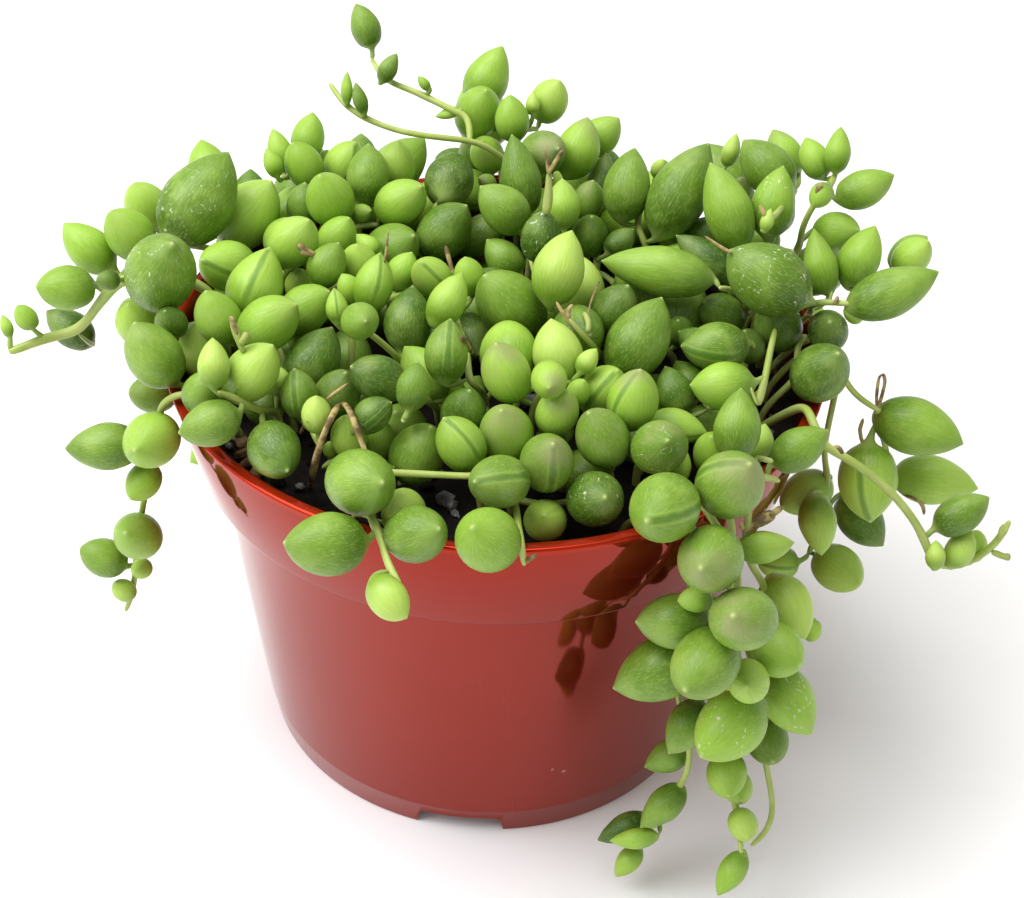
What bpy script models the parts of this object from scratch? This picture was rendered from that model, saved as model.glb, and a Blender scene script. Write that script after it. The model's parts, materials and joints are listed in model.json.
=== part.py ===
"""A potted string of tears: a round nursery pot, its soil and the leafy strands rooted in it.

Lengths in the constants are millimetres and become metres in the meshes. The origin lies on
the pot's axis at table level, +Z points up and -Y is the side that faces the photograph.

Each strand is one leafy stem. Its leaves and the visible runs of its stem are written as they
are seen in the photograph, and read_strands() sets them in space with the camera that took it.
settle() then lets the strands push each other apart until they lie clear of one another, of
the soil and of the pot, while every leaf keeps its place in the picture.
"""

import math

import bmesh
import bpy
import numpy as np

MM = 0.001

# Pot
POT_HEIGHT = 73.6
RIM_RADIUS = 52.5
LIP_WIDTH = 2.0
COLLAR_DROP = 17.8
COLLAR_FOOT_RADIUS = 48.5
STEP_RADIUS = 45.6
FOOT_RADIUS = 39.2
FOOT_LINE_HEIGHT = 4.9
FOOT_LINE_STEP = 0.35
WALL = 1.2
FLOOR_UNDERSIDE = 3.6
POT_SEGMENTS = 36
NOTCH_COUNT = 4
NOTCH_HEIGHT = 3.4
NOTCH_WIDTH = 15.0
NOTCH_TOP_WIDTH = 13.4
NOTCH_AZIMUTH = math.radians(-95.8)
DRAIN_COUNT = 6
DRAIN_RADIUS = 4.0
DRAIN_CIRCLE = 25.0

# Soil
SOIL_TOP = 66.0
SOIL_CROWN = 0.6
SOIL_CLEARANCE = 0.5
SOIL_SEGMENTS = 20
ROOT_DEPTH = 4.0

# Strands
STEM_RADIUS = 0.75
PETIOLE_RADIUS = 0.55
STEM_SIDES = 4
LEAF_SIDES = 5
NODE_PITCH = 2.2
PLUMPNESS = 1.46
LEAF_SWELL = 1.07
CLEARANCE = 0.5
ROOT_SPACING = 4.6
ROOT_REACH = 43.0
LEAF_RINGS = ((-0.45, 0.88), (0.35, 0.92))
WIDE_LEAF_RINGS = ((-0.6, 0.76), (0.0, 1.0), (0.55, 0.74))
WIDE_LEAF = 4.6
SMALL_LEAF = 3.1
SMALL_LEAF_SIDES = 4
STALK_SHOWN = 3.0
STEM_STRAIGHTNESS = 0.6
SCRAP_VOLUME = 0.1

# The camera of the photograph, about the centre of the rim
PHOTO_CENTRE = (512.0, 449.0)
FOCAL_PX = 1706.67
ELEVATION = math.radians(33.953)
ROLL = math.radians(1.6564)
DISTANCE = 272.29
AIM_PX = (497.15, 333.59)

# One row a strand: name, the level its readings lie at, its stems and its leaves.
# Level ("z", 84) is a height above the table, ("y", -50) an upright plane in front of the pot.
# A stem is a list of points (x px, y px, mm off the level); "under" is one that runs from leaf
# base to leaf base. A leaf is (x px, y px, tip x px, tip y px, width px, mm off the level), with
# "away" added where its tip points away from the camera.
STRANDS = (
    ("left_spray", ("y", 1),
     [[(215, 290, -3), (180, 274, 3), (150, 268, 4), (125, 272, 3), (112, 285, 2), (100, 308, 1),
       (78, 320, 0), (56, 329, 0), (33, 346, 0), (10, 352, -1)]],
     [(162, 270, 172, 244, 70, -4), (65, 286, 35, 287, 43, 0), (70, 327, 45, 310, 38, 4),
      (108, 280, 96, 280, 20, -3), (25, 317, 17, 305, 22, 0), (6, 326, 2, 314, 12, 0)]),
    ("left_back", ("z", 84), ["under"],
     [(226, 265, 200, 262, 50, -3), (255, 214, 281, 183, 60, -1), (199, 197, 230, 152, 68, 2),
      (146, 205, 133, 183, 42, -2), (127, 234, 108, 212, 46, -2), (90, 245, 64, 222, 42, -3)]),
    ("left_rim", ("y", -7), ["under"],
     [(203, 390, 215, 372, 38, -14), (187, 350, 183, 322, 50, -1), (158, 368, 137, 338, 54, -8),
      (152, 321, 140, 305, 44, 5), (136, 315, 127, 300, 34, 10), (152, 392, 128, 392, 38, 1)]),
    ("left_hanging", ("y", -21),
     [[(205, 420, 0), (178, 424, 0), (160, 450, 2), (148, 482, 3), (141, 508, 2), (138, 545, 3),
       (134, 575, 3), (133, 600, 3), (126, 610, 3)]],
     [(161, 435, 145, 447, 54, -3), (103, 446, 64, 449, 47, 0), (142, 482, 130, 500, 33, 0),
      (137, 535, 125, 533, 46, -1), (103, 557, 79, 548, 37, 2), (141, 568, 134, 571, 20, 1),
      (124, 589, 115, 582, 22, 1)]),
    ("fork", ("z", 79),
     [[(283, 440, -9), (273, 421, -3), (265, 408, 0), (250, 400, 2), (232, 396, 3), (219, 392, 4)]],
     [(279, 451, 291, 473, 52, -2), (209, 423, 178, 434, 46, 1), (277, 380, 274, 383, 28, 0),
      (255, 371, 276, 346, 50, 4), (217, 364, 216, 338, 32, 5)]),
    ("left_inner", ("z", 82), ["under"],
     [(293, 275, 296, 261, 26, -4), (256, 283, 272, 246, 54, 0), (220, 315, 207, 290, 44, -1)]),
    ("left_middle", ("z", 82), ["under"],
     [(318, 357, 339, 325, 52, -4), (310, 305, 332, 288, 44, -3), (272, 325, 298, 305, 52, 0)]),
    ("back_left_tip", ("z", 86), ["under"],
     [(300, 203, 300, 180, 34, -6), (303, 167, 292, 145, 38, -1), (308, 137, 314, 112, 34, 1),
      (272, 163, 266, 148, 18, 1), (279, 150, 273, 128, 24, 2)]),
    ("back_left_row", ("z", 85), ["under"],
     [(326, 165, 327, 149, 25, -2), (331, 199, 321, 177, 47, 1), (343, 163, 355, 142, 40, 0),
      (367, 175, 369, 144, 42, 1), (394, 166, 398, 140, 40, 0)]),
    ("back_left_inner", ("z", 83), ["under"],
     [(295, 246, 311, 226, 46, 0), (338, 236, 349, 216, 38, -2), (364, 212, 373, 210, 18, -2),
      (403, 204, 424, 190, 46, 2)]),
    ("centre_left_back", ("z", 83), ["under"],
     [(328, 264, 341, 243, 36, 1), (358, 262, 355, 243, 38, -2), (370, 247, 357, 236, 20, -1),
      (391, 245, 414, 232, 52, 0), (442, 228, 463, 201, 50, 1), (446, 180, 455, 158, 46, 1, "away")]),
    ("centre_left", ("z", 84), ["under"],
     [(336, 307, 334, 288, 22, 1), (347, 287, 340, 272, 24, 0), (373, 283, 381, 253, 38, 1),
      (402, 270, 413, 252, 30, -2),
      (432, 275, 420, 262, 38, -2)]),
    ("pale_bud", ("z", 83), [[(412, 378, -6), (400, 357, 0), (384, 343, 3), (368, 334, 5)]],
     [(406, 318, 411, 284, 46, -1), (360, 320, 366, 322, 37, 7)]),
    ("upright_bud", ("z", 82),
     [[(486, 392, -5), (482, 385, 0), (470, 345, 2), (458, 332, 4), (455, 312, 5)]],
     [(447, 300, 462, 272, 36, 4), (470, 275, 465, 257, 30, 2), (448, 355, 450, 322, 42, 2)]),
    ("centre_long", ("z", 86), ["under"],
     [(505, 255, 488, 236, 34, -5), (510, 303, 482, 276, 66, 0)]),
    ("centre_round", ("z", 87), ["under"],
     [(487, 181, 479, 178, 16, -3), (503, 210, 479, 189, 44, 0), (541, 236, 546, 210, 40, 2)]),
    ("centre_tall", ("z", 89), ["under"],
     [(520, 176, 513, 134, 40, 0), (563, 204, 562, 178, 34, 0)]),
    ("centre_dark", ("z", 83), ["under"],
     [(590, 234, 592, 216, 36, 0), (620, 242, 634, 229, 26, 0), (588, 200, 592, 180, 32, 0),
      (601, 180, 606, 152, 30, 0)]),
    ("centre_bright", ("z", 88), ["under"],
     [(585, 285, 583, 254, 38, -3), (560, 268, 571, 230, 52, 1)]),
    ("centre_front_a", ("z", 84), ["under"],
     [(507, 350, 505, 322, 58, 0, "away"), (560, 352, 552, 318, 48, 2), (587, 366, 596, 353, 20, 1)]),
    ("centre_front_b", ("z", 83), ["under"],
     [(506, 383, 494, 356, 50, 1), (549, 379, 549, 389, 36, 4), (577, 390, 582, 378, 24, -1),
      (561, 412, 572, 392, 42, -1)]),
    ("lying_leaf", ("z", 86), [[(752, 300, -8), (745, 293, -3), (735, 289, -1), (720, 288, 0)]],
     [(708, 258, 677, 233, 36, -3), (655, 272, 598, 262, 50, 1)]),
    ("right_back_pair", ("z", 89), ["under"],
     [(683, 190, 709, 142, 56, 0), (629, 185, 635, 147, 46, 0), (660, 168, 664, 160, 18, 0)]),
    ("right_back_tall", ("z", 89), ["under"],
     [(724, 208, 709, 163, 46, 1), (743, 188, 740, 179, 22, -2), (731, 150, 737, 133, 18, 4)]),
    ("right_back_spread", ("z", 91), ["under"],
     [(775, 202, 783, 165, 42, 0), (785, 152, 772, 129, 34, 0), (767, 165, 742, 140, 48, 1),
      (767, 221, 771, 209, 13, 6)]),
    ("right_back_spray", ("z", 93),
     [[(792, 262, -12), (798, 240, -5), (804, 215, 0), (813, 203, 2), (826, 192, 2), (838, 172, 4)]],
     [(838, 230, 860, 231, 38, -5), (815, 158, 805, 137, 30, 1), (838, 150, 841, 126, 25, 4),
      (865, 187, 895, 175, 38, 1), (820, 195, 812, 207, 22, 4)]),
    ("right_spray", ("z", 86),
     [[(800, 330, -12), (808, 312, -4), (822, 302, 0), (850, 304, 0)],
      [(850, 304, 0), (868, 289, -2), (888, 275, -2)]],
     [(768, 275, 727, 250, 68, 3), (822, 262, 814, 228, 34, 0), (860, 256, 875, 225, 40, 1),
      (912, 255, 929, 241, 36, 0), (893, 290, 940, 272, 47, 2), (848, 316, 852, 326, 20, -4)]),
    ("right_dark", ("z", 80), [[(790, 400, -9), (796, 378, -2), (798, 352, 0), (803, 330, 0)]],
     [(780, 322, 770, 302, 46, -2), (826, 326, 828, 319, 40, 0), (820, 373, 838, 357, 56, 0)]),
    ("right_centre", ("z", 84), ["under"],
     [(680, 330, 678, 320, 28, -6), (613, 310, 630, 285, 48, -1), (637, 338, 662, 297, 60, 1)]),
    ("right_striped", ("z", 82), ["under"],
     [(748, 345, 745, 330, 30, -4), (722, 312, 705, 300, 40, -3), (714, 345, 680, 347, 50, 0)]),
    ("right_lower", ("z", 80),
     [[(745, 405, -8), (752, 388, -2)], [(762, 395, -2), (770, 350, 1), (775, 330, 2)],
      [(759, 398, -4), (765, 376, 1)]],
     [(674, 392, 665, 367, 36, -2), (722, 384, 689, 386, 46, 1)]),
    ("front_stripe", ("z", 80), ["under"],
     [(603, 388, 618, 368, 46, -1), (632, 398, 641, 369, 50, 2), (598, 437, 586, 412, 52, 0)]),
    ("front_round", ("z", 79), ["under"],
     [(509, 425, 502, 404, 54, 0), (548, 457, 554, 441, 54, -1)]),
    ("front_right", ("z", 79), ["under"],
     [(680, 430, 711, 436, 36, -2), (652, 445, 659, 441, 54, 0), (682, 466, 684, 446, 24, -3),
      (665, 506, 649, 522, 66, 1)]),
    ("front_right_rim", ("z", 80), ["under", [(752, 455, -2), (762, 464, -2), (772, 461, -2)]],
     [(762, 442, 765, 423, 24, -4), (736, 425, 741, 388, 46, 1), (715, 462, 712, 445, 42, -4),
      (729, 483, 748, 465, 64, 2), (800, 447, 829, 430, 41, -2)]),
    ("inner_front_left", ("z", 82), ["under"],
     [(448, 392, 455, 375, 34, -6), (425, 372, 405, 345, 44, 0), (378, 376, 350, 367, 46, 1),
      (413, 386, 418, 361, 32, 5)]),
    ("inner_left_bud", ("z", 80), ["under"],
     [(335, 392, 345, 372, 46, -3), (295, 392, 291, 366, 38, 0), (319, 415, 318, 397, 30, 2)]),
    ("inner_pair", ("z", 78), ["under"],
     [(349, 435, 345, 415, 36, -1), (375, 440, 378, 420, 44, -3), (375, 415, 393, 402, 34, 3),
      (330, 449, 330, 441, 14, -3)]),
    ("inner_ridged", ("z", 79), ["under"],
     [(465, 444, 449, 418, 46, 0), (462, 408, 468, 386, 44, -1), (417, 450, 432, 425, 54, -2)]),
    ("front_runner", ("z", 77),
     [[(336, 466, -8), (350, 470, -4), (388, 472, 0), (430, 474, 0), (478, 474, 0)]],
     [(362, 484, 383, 488, 64, 2), (501, 481, 476, 482, 52, 0)]),
    ("front_rim_spray", ("z", 78),
     [[(352, 506, -9), (362, 512, -2), (373, 520, 0), (386, 547, 0), (394, 568, -2), (400, 585, -4)]],
     [(405, 512, 402, 492, 46, -4), (326, 539, 284, 541, 62, -1), (419, 533, 442, 530, 56, 0),
      (390, 598, 407, 619, 40, -4)]),
    ("front_rim_pair", ("z", 77),
     [[(512, 492, -8), (514, 502, -2), (519, 518, 0), (526, 545, -2), (524, 563, -4)],
      [(520, 500, -7), (545, 505, -6), (575, 500, -5)]],
     [(486, 537, 470, 528, 62, 1), (545, 519, 544, 516, 42, -6), (596, 492, 606, 493, 54, -3)]),
    ("hanging_main", ("y", -50),
     [[(690, 486, 8), (700, 508, 2), (715, 523, -1), (735, 552, 2), (743, 578, 2), (741, 600, 1),
       (738, 640, 1), (728, 690, 1)]],
     [(710, 558, 701, 570, 64, -4), (695, 600, 677, 601, 26, 0), (741, 618, 731, 618, 64, -5),
      (675, 620, 636, 621, 54, 2), (705, 660, 683, 686, 64, -5), (655, 668, 613, 689, 60, 0),
      (749, 680, 747, 687, 42, -4)]),
    ("hanging_right", ("y", -42),
     [[(735, 500, 5), (748, 535, 0), (748, 566, 0), (760, 578, 0), (772, 600, 0), (775, 650, 1),
       (768, 700, 1), (763, 745, 0), (765, 763, 0), (770, 785, 0), (776, 808, -1), (774, 826, -2),
       (767, 839, -3), (752, 845, -4)]],
     [(765, 546, 795, 543, 32, 0), (787, 608, 806, 640, 52, -1), (811, 630, 811, 642, 20, 4),
      (777, 648, 800, 666, 52, -6), (790, 700, 811, 736, 54, -2), (767, 740, 773, 763, 42, -2)]),
    ("hanging_low", ("y", -50),
     [[(725, 690, 4), (715, 735, 3), (712, 760, 2), (722, 785, 0), (738, 806, 0), (742, 838, -3),
       (741, 852, -5)]],
     [(685, 725, 669, 753, 38, 2), (728, 726, 697, 755, 64, -2), (668, 757, 645, 769, 32, 3),
      (728, 775, 728, 797, 40, 1), (737, 790, 742, 804, 30, 3), (743, 822, 748, 836, 29, -2),
      (731, 874, 717, 896, 26, -7)]),
    ("hanging_left_tip", ("y", -50),
     [[(655, 545, 4), (662, 600, 5), (668, 680, 5), (688, 735, 4), (695, 762, 3), (688, 775, 2),
       (680, 787, 1), (650, 828, 0), (637, 845, 0)]],
     [(662, 807, 640, 828, 32, 0), (622, 828, 597, 841, 28, 1), (634, 838, 609, 841, 20, -3),
      (628, 862, 615, 877, 23, 0)]),
    ("right_pale_stem", ("y", -30),
     [[(800, 470, 12), (825, 450, 2), (838, 451, 0), (860, 466, 0), (880, 481, 0), (900, 500, 0),
       (915, 520, 0), (921, 533, 0), (928, 550, 1), (935, 570, 2), (960, 567, 2), (980, 558, 2),
       (995, 550, 2), (1003, 538, 2), (1009, 522, 2)]],
     [(962, 513, 990, 497, 38, 3), (935, 555, 936, 540, 20, -1), (975, 545, 978, 530, 26, 5),
      (961, 549, 972, 531, 30, 1)]),
    ("right_big", ("y", -12), [[(800, 386, 10), (845, 390, 4), (862, 402, 0), (878, 410, 0)],
      [(878, 410, 2), (884, 440, 6), (890, 468, 6)]],
     [(918, 430, 964, 444, 58, 0), (935, 482, 979, 488, 48, 5), (870, 482, 870, 523, 56, -4)]),
    ("right_under", ("y", -8), [[(815, 462, 6), (835, 482, 2), (832, 500, 0), (805, 545, 0)]],
     [(805, 493, 780, 508, 44, 2), (817, 525, 822, 556, 38, -3), (778, 562, 757, 563, 32, -1),
      (838, 570, 860, 586, 44, 0),
      (863, 520, 883, 547, 42, 8)]),
    ("top_spray", ("z", 97),
     [[(520, 170, -14), (480, 140, -6), (440, 138, -4), (400, 133, -3), (365, 120, -2),
       (345, 108, -1), (330, 84, 0)],
      [(470, 118, -6), (445, 108, -4), (420, 92, -2), (400, 87, 0), (385, 78, 1), (372, 60, 2)]],
     [(360, 98, 355, 82, 15, 0), (347, 88, 347, 71, 12, 1), (448, 113, 435, 117, 11, -5),
      (424, 83, 418, 76, 10, 0), (389, 68, 397, 53, 18, 2), (364, 26, 356, 3, 29, 3)]),
    ("top_cluster", ("z", 92), ["under"],
     [(487, 155, 481, 143, 34, -7), (512, 118, 509, 94, 34, -1), (478, 110, 487, 90, 46, -1),
      (488, 78, 503, 45, 42, 2), (533, 104, 533, 92, 14, 1), (550, 100, 560, 80, 36, 0)]),
    ("top_cluster_right", ("z", 89), ["under"],
     [(545, 152, 560, 150, 42, -1), (577, 148, 588, 117, 42, 0), (600, 135, 620, 118, 36, 0)]),
    ("dried_twig", ("z", 83),
     [[(310, 484, -11), (313, 465, -5), (318, 450, -2), (330, 420, 1), (342, 404, 4),
       (357, 430, 1), (365, 448, -1)]],
     []),
)

# Strands that the photograph doesn't show, which hang over the back of the rim:
# name, azimuth in degrees, height of the lowest leaf, leaves
BACK_STRANDS = (
    ("behind_right", 33, 30, 4),
    ("behind_right_middle", 62, 44, 3),
    ("behind_middle", 90, 20, 5),
    ("behind_left_middle", 121, 38, 3),
    ("behind_left", 148, 32, 4),
)
BACK_CREEP = ((30, 66), (33, 73), (40, 75), (47, 76.5), (53, 76.5), (57.5, 73), (59, 67))
BACK_CREEP_LEAVES = (34, 40, 46)
BACK_SEED = 11

LIP_MIDDLE = RIM_RADIUS - LIP_WIDTH / 2
STEM_LIFT = 1.6
WALL_REACH = (46.5, 54.4)
OVER_RIM = ((47.0, 1.0), (50.0, 2.0), (53.0, 2.0), (55.2, -0.6))

LEAF_COLOURS = ((0.30, 0.47, 0.10), (0.36, 0.54, 0.12), (0.25, 0.40, 0.09), (0.42, 0.58, 0.16))


class Leaf:
    """A leaf: centre c, unit axis from base to tip, half length h, half width a."""


class Stem:
    """A stem: its nodes p, whether it stands in the soil, and whether the photograph shows it."""


def unit(v):
    return v / np.sqrt((v * v).sum(-1, keepdims=True))


def length(v):
    return np.sqrt((v * v).sum(-1))


def photo_camera():
    """The camera's right, up and back directions, and where it stands."""
    back = np.array([0.0, -math.cos(ELEVATION), math.sin(ELEVATION)])
    right = np.array([1.0, 0.0, 0.0])
    up = np.cross(back, right)
    c, s = math.cos(ROLL), math.sin(ROLL)
    rows = np.stack([c * right + s * up, -s * right + c * up, back])
    ahead = np.array([0.0, 0.0, -1.0])
    aim = unit(np.array([(AIM_PX[0] - PHOTO_CENTRE[0]) / FOCAL_PX,
                         (PHOTO_CENTRE[1] - AIM_PX[1]) / FOCAL_PX, -1.0]))
    axis = np.cross(ahead, aim)
    sine = length(axis)
    cosine = (ahead * aim).sum()
    k = axis / sine
    skew = np.array([[0, -k[2], k[1]], [k[2], 0, -k[0]], [-k[1], k[0], 0]])
    turn = np.eye(3) + sine * skew + (1 - cosine) * (skew @ skew)
    return turn @ rows, back * DISTANCE + np.array([0, 0, POT_HEIGHT])


CAMERA_AXES, EYE = photo_camera()


def place(level, x, y, off):
    """Where the line of sight through a pixel meets a level."""
    kind, value = level
    sight = ((x - PHOTO_CENTRE[0]) / FOCAL_PX * CAMERA_AXES[0]
             - (y - PHOTO_CENTRE[1]) / FOCAL_PX * CAMERA_AXES[1] - CAMERA_AXES[2])
    i = 2 if kind == "z" else 1
    return EYE + sight * ((value + off - EYE[i]) / sight[i])


def read_leaf(level, row):
    x, y, tip_x, tip_y, width, off = row[:6]
    leaf = Leaf()
    leaf.c = place(level, x, y, off)
    depth = -((leaf.c - EYE) * CAMERA_AXES[2]).sum()
    scale = depth / FOCAL_PX
    leaf.a = 0.5 * width * scale
    view = unit(EYE - leaf.c)
    across = ((tip_x - x) * CAMERA_AXES[0] - (tip_y - y) * CAMERA_AXES[1]) * scale
    across = across - view * (across * view).sum()
    seen = length(across)
    leaf.h = max(seen, PLUMPNESS * leaf.a)
    toward = math.sqrt(max(0.0, leaf.h ** 2 - seen ** 2))
    leaf.axis = unit(across + view * (-toward if "away" in row else toward))
    return leaf


def under_path(leaves):
    """A stem that runs just below the bases of its leaves."""
    ends = [leaf.c - leaf.axis * (leaf.h + 1.2) - np.array([0, 0, 0.8]) for leaf in leaves]
    path = [ends[0]]
    for before, here, after in zip(ends, ends[1:], ends[2:]):
        path.append(0.25 * before + 0.5 * here + 0.25 * after)
    if len(ends) > 1:
        path.append(ends[-1])
    return path


def resample(points, pitch):
    points = np.array(points, float)
    along = np.concatenate([[0], np.cumsum(length(points[1:] - points[:-1]))])
    count = max(2, int(round(along[-1] / pitch)) + 1)
    at = np.linspace(0, along[-1], count)
    return np.stack([np.interp(at, along, points[:, k]) for k in range(3)], 1)


def back_strand(azimuth, lowest, count, rng):
    """A strand that creeps over the soil, crosses the rim and hangs, with leaves all along it."""
    out = np.array([math.cos(azimuth), math.sin(azimuth), 0.0])
    side = np.array([-out[1], out[0], 0.0])
    up = np.array([0.0, 0.0, 1.0])
    path = [out * r + up * z for r, z in BACK_CREEP]
    leaves = []
    for k, r in enumerate(BACK_CREEP_LEAVES):
        hand = 1 if k % 2 else -1
        leaf = Leaf()
        leaf.axis = unit(side * hand + out * (0.7 * rng.random() - 0.5) + up * (0.35 + 0.5 * rng.random()))
        leaf.a = 3.5 + 0.8 * rng.random()
        leaf.h = leaf.a * (1.45 + 0.2 * rng.random())
        leaf.c = out * r + up * 76 + leaf.axis * (leaf.h + 1.0)
        leaves.append(leaf)
    for k, z in enumerate(np.linspace(62, lowest, count)):
        sway = side * 2.0 * math.sin(0.9 * k + azimuth)
        path.append(out * (58.5 - 0.06 * (66 - z)) + up * z + sway)
        leaf = Leaf()
        turn = (1 if k % 2 else -1) * (0.75 + 0.25 * rng.random())
        leaf.axis = unit(out * 0.45 + side * turn - up * (0.35 + 0.4 * rng.random()))
        leaf.a = 4.2 + 0.6 * rng.random() - 0.3 * k
        leaf.h = leaf.a * (1.45 + 0.2 * rng.random())
        leaf.c = path[-1] + leaf.axis * (leaf.h + 1.0)
        leaves.append(leaf)
    return path, leaves


def read_strands():
    """Every leaf and every stem, before they settle."""
    leaves, stems = [], []
    rows = [(name, [("under" if line == "under" else [place(level, *p) for p in line])
                    for line in lines], [read_leaf(level, row) for row in seen])
            for name, level, lines, seen in STRANDS]
    rng = np.random.default_rng(BACK_SEED)
    for name, azimuth, lowest, count in BACK_STRANDS:
        path, made = back_strand(math.radians(azimuth), lowest, count, rng)
        rows.append((name, [path], made))
    for strand, (name, lines, made) in enumerate(rows):
        for leaf in made:
            leaf.strand = strand
        leaves += made
        for k, line in enumerate(lines):
            stem = Stem()
            stem.strand = strand
            stem.rooted = k == 0
            stem.seen = line != "under"
            stem.line = line if stem.seen else under_path(made)
            stems.append(stem)
    set_roots([stem for stem in stems if stem.rooted])
    for stem in stems:
        stem.p = resample(stem.line, NODE_PITCH)
        if stem.rooted:
            for k, rise in enumerate((-ROOT_DEPTH, -1.5, 1.0)):
                stem.p[k] = stem.root + np.array([0, 0, rise])
        stem.p0 = stem.p.copy()
    for leaf in leaves:
        leaf.stem, leaf.node = nearest_node(leaf, stems)
    return [name for name, _, _ in rows], leaves, stems


def set_roots(stems):
    """Gives each strand its own place in the soil, near where it rises, and starts it there."""
    at = np.array([stem.line[0][:2] for stem in stems])
    for _ in range(200):
        between = at[:, None] - at[None]
        apart = length(between) + np.eye(len(at)) * 99
        short = np.maximum(0, ROOT_SPACING - apart)
        at = at + 0.25 * (between / apart[..., None] * short[..., None]).sum(1)
        reach = length(at)
        at = np.where((reach > ROOT_REACH)[:, None], at * (ROOT_REACH / reach)[:, None], at)
    for stem, (x, y) in zip(stems, at):
        stem.root = np.array([x, y, SOIL_TOP])
        start = np.array(stem.line[0])
        line = [stem.root - np.array([0, 0, ROOT_DEPTH]), stem.root + np.array([0, 0, 1.5])]
        if length(start - stem.root) > 6 and math.hypot(start[0], start[1]) < WALL_REACH[0]:
            middle = 0.5 * (stem.root + start)
            middle[2] = max(SOIL_TOP + 2.5, 0.6 * start[2] + 0.4 * SOIL_TOP)
            line.append(middle)
        stem.line = over_rim(line + list(stem.line))


def over_rim(line):
    """Leads a stem's course over the rim, and keeps it off the wall on both sides of it."""
    led = [line[0]]
    outside = False
    for there in line[1:]:
        here = led[-1]
        r0, r1 = math.hypot(here[0], here[1]), math.hypot(there[0], there[1])
        out = np.array([there[0] / r1, there[1] / r1, 0.0])
        low = there[2] < POT_HEIGHT + STEM_LIFT
        if low and WALL_REACH[0] < r1 < WALL_REACH[1]:
            if outside or r1 > LIP_MIDDLE:
                there = out * WALL_REACH[1] + np.array([0, 0, there[2]])
                r1 = WALL_REACH[1]
            else:
                there = out * r1 + np.array([0, 0, POT_HEIGHT + STEM_LIFT])
        if not outside and r0 < LIP_MIDDLE <= r1:
            share = (LIP_MIDDLE - r0) / (r1 - r0)
            if here[2] + share * (there[2] - here[2]) < POT_HEIGHT + STEM_LIFT:
                for r, z in OVER_RIM:
                    if r > r0 and not (r > r1 and z < there[2] - POT_HEIGHT):
                        led.append(out * r + np.array([0, 0, POT_HEIGHT + z]))
            outside = True
        led.append(there)
    return led


def nearest_node(leaf, stems):
    base = leaf.c - leaf.axis * leaf.h
    best = None
    for i, stem in enumerate(stems):
        if stem.strand != leaf.strand:
            continue
        far = length(stem.p - base)
        if stem.rooted:
            far[:3] += 20
        k = int(far.argmin())
        if best is None or far[k] < best[0]:
            best = (far[k], i, k)
    return best[1:]


# The pot and its soil as a section (radius, height), from the axis up over the rim to the foot
POT_SECTION = (
    (0, SOIL_TOP + SOIL_CROWN), (50.2, SOIL_TOP), (RIM_RADIUS - LIP_WIDTH, POT_HEIGHT),
    (RIM_RADIUS, POT_HEIGHT), (COLLAR_FOOT_RADIUS, POT_HEIGHT - COLLAR_DROP),
    (STEP_RADIUS, POT_HEIGHT - COLLAR_DROP), (FOOT_RADIUS, 0.0))


def push_from_pot(points, radii):
    """How far each ball has to move to clear the pot and the soil."""
    q = np.sqrt(points[:, 0] ** 2 + points[:, 1] ** 2) + 1e-9
    z = points[:, 2]
    best = np.full(len(points), 1e9)
    nx = np.zeros(len(points))
    nz = np.zeros(len(points))
    for (x0, z0), (x1, z1) in zip(POT_SECTION, POT_SECTION[1:]):
        dx, dz = x1 - x0, z1 - z0
        t = np.clip(((q - x0) * dx + (z - z0) * dz) / (dx * dx + dz * dz), 0, 1)
        ux, uz = q - (x0 + t * dx), z - (z0 + t * dz)
        d = np.sqrt(ux * ux + uz * uz)
        nearer = d < best
        best = np.where(nearer, d, best)
        nx = np.where(nearer, ux, nx)
        nz = np.where(nearer, uz, nz)
    step_z = POT_HEIGHT - COLLAR_DROP
    collar = COLLAR_FOOT_RADIUS + (z - step_z) * (RIM_RADIUS - COLLAR_FOOT_RADIUS) / COLLAR_DROP
    wall = FOOT_RADIUS + z * (STEP_RADIUS - FOOT_RADIUS) / step_z
    within = (z < POT_HEIGHT) & (q < np.where(z > step_z, collar, wall))
    within &= ~((z > SOIL_TOP) & (q < 50.2))
    sign = np.where(within, -1.0, 1.0) / (np.sqrt(nx * nx + nz * nz) + 1e-9)
    amount = np.maximum(0, radii - np.where(within, -best, best))
    across = nx * sign * amount / q
    return np.stack([points[:, 0] * across, points[:, 1] * across, nz * sign * amount], 1), amount


def leaf_balls(leaf):
    """Balls along a leaf's axis that fill it: (distance from the centre, radius)."""
    slack = max(leaf.h ** 2 - leaf.a ** 2, 1e-6)
    balls = []
    for share in (-0.92, -0.55, 0.0, 0.55, 0.92):
        t = share * slack / leaf.h
        balls.append((t, leaf.a * math.sqrt(max(0.05, 1 - t * t / slack))))
    return balls


def near_pairs(balls, radii, body, strand, is_stem):
    """Pairs of balls of different bodies that are close, but for a strand's own stem."""
    first, second = [], []
    for start in range(0, len(balls), 400):
        block = slice(start, start + 400)
        apart = length(balls[block, None] - balls[None])
        i, j = np.nonzero(apart < radii[block, None] + radii[None] + CLEARANCE + 2.0)
        i = i + start
        keep = (i < j) & (body[i] != body[j])
        keep &= ~((strand[i] == strand[j]) & (is_stem[body[i]] | is_stem[body[j]]))
        first.append(i[keep])
        second.append(j[keep])
    return np.concatenate(first), np.concatenate(second)


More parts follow.
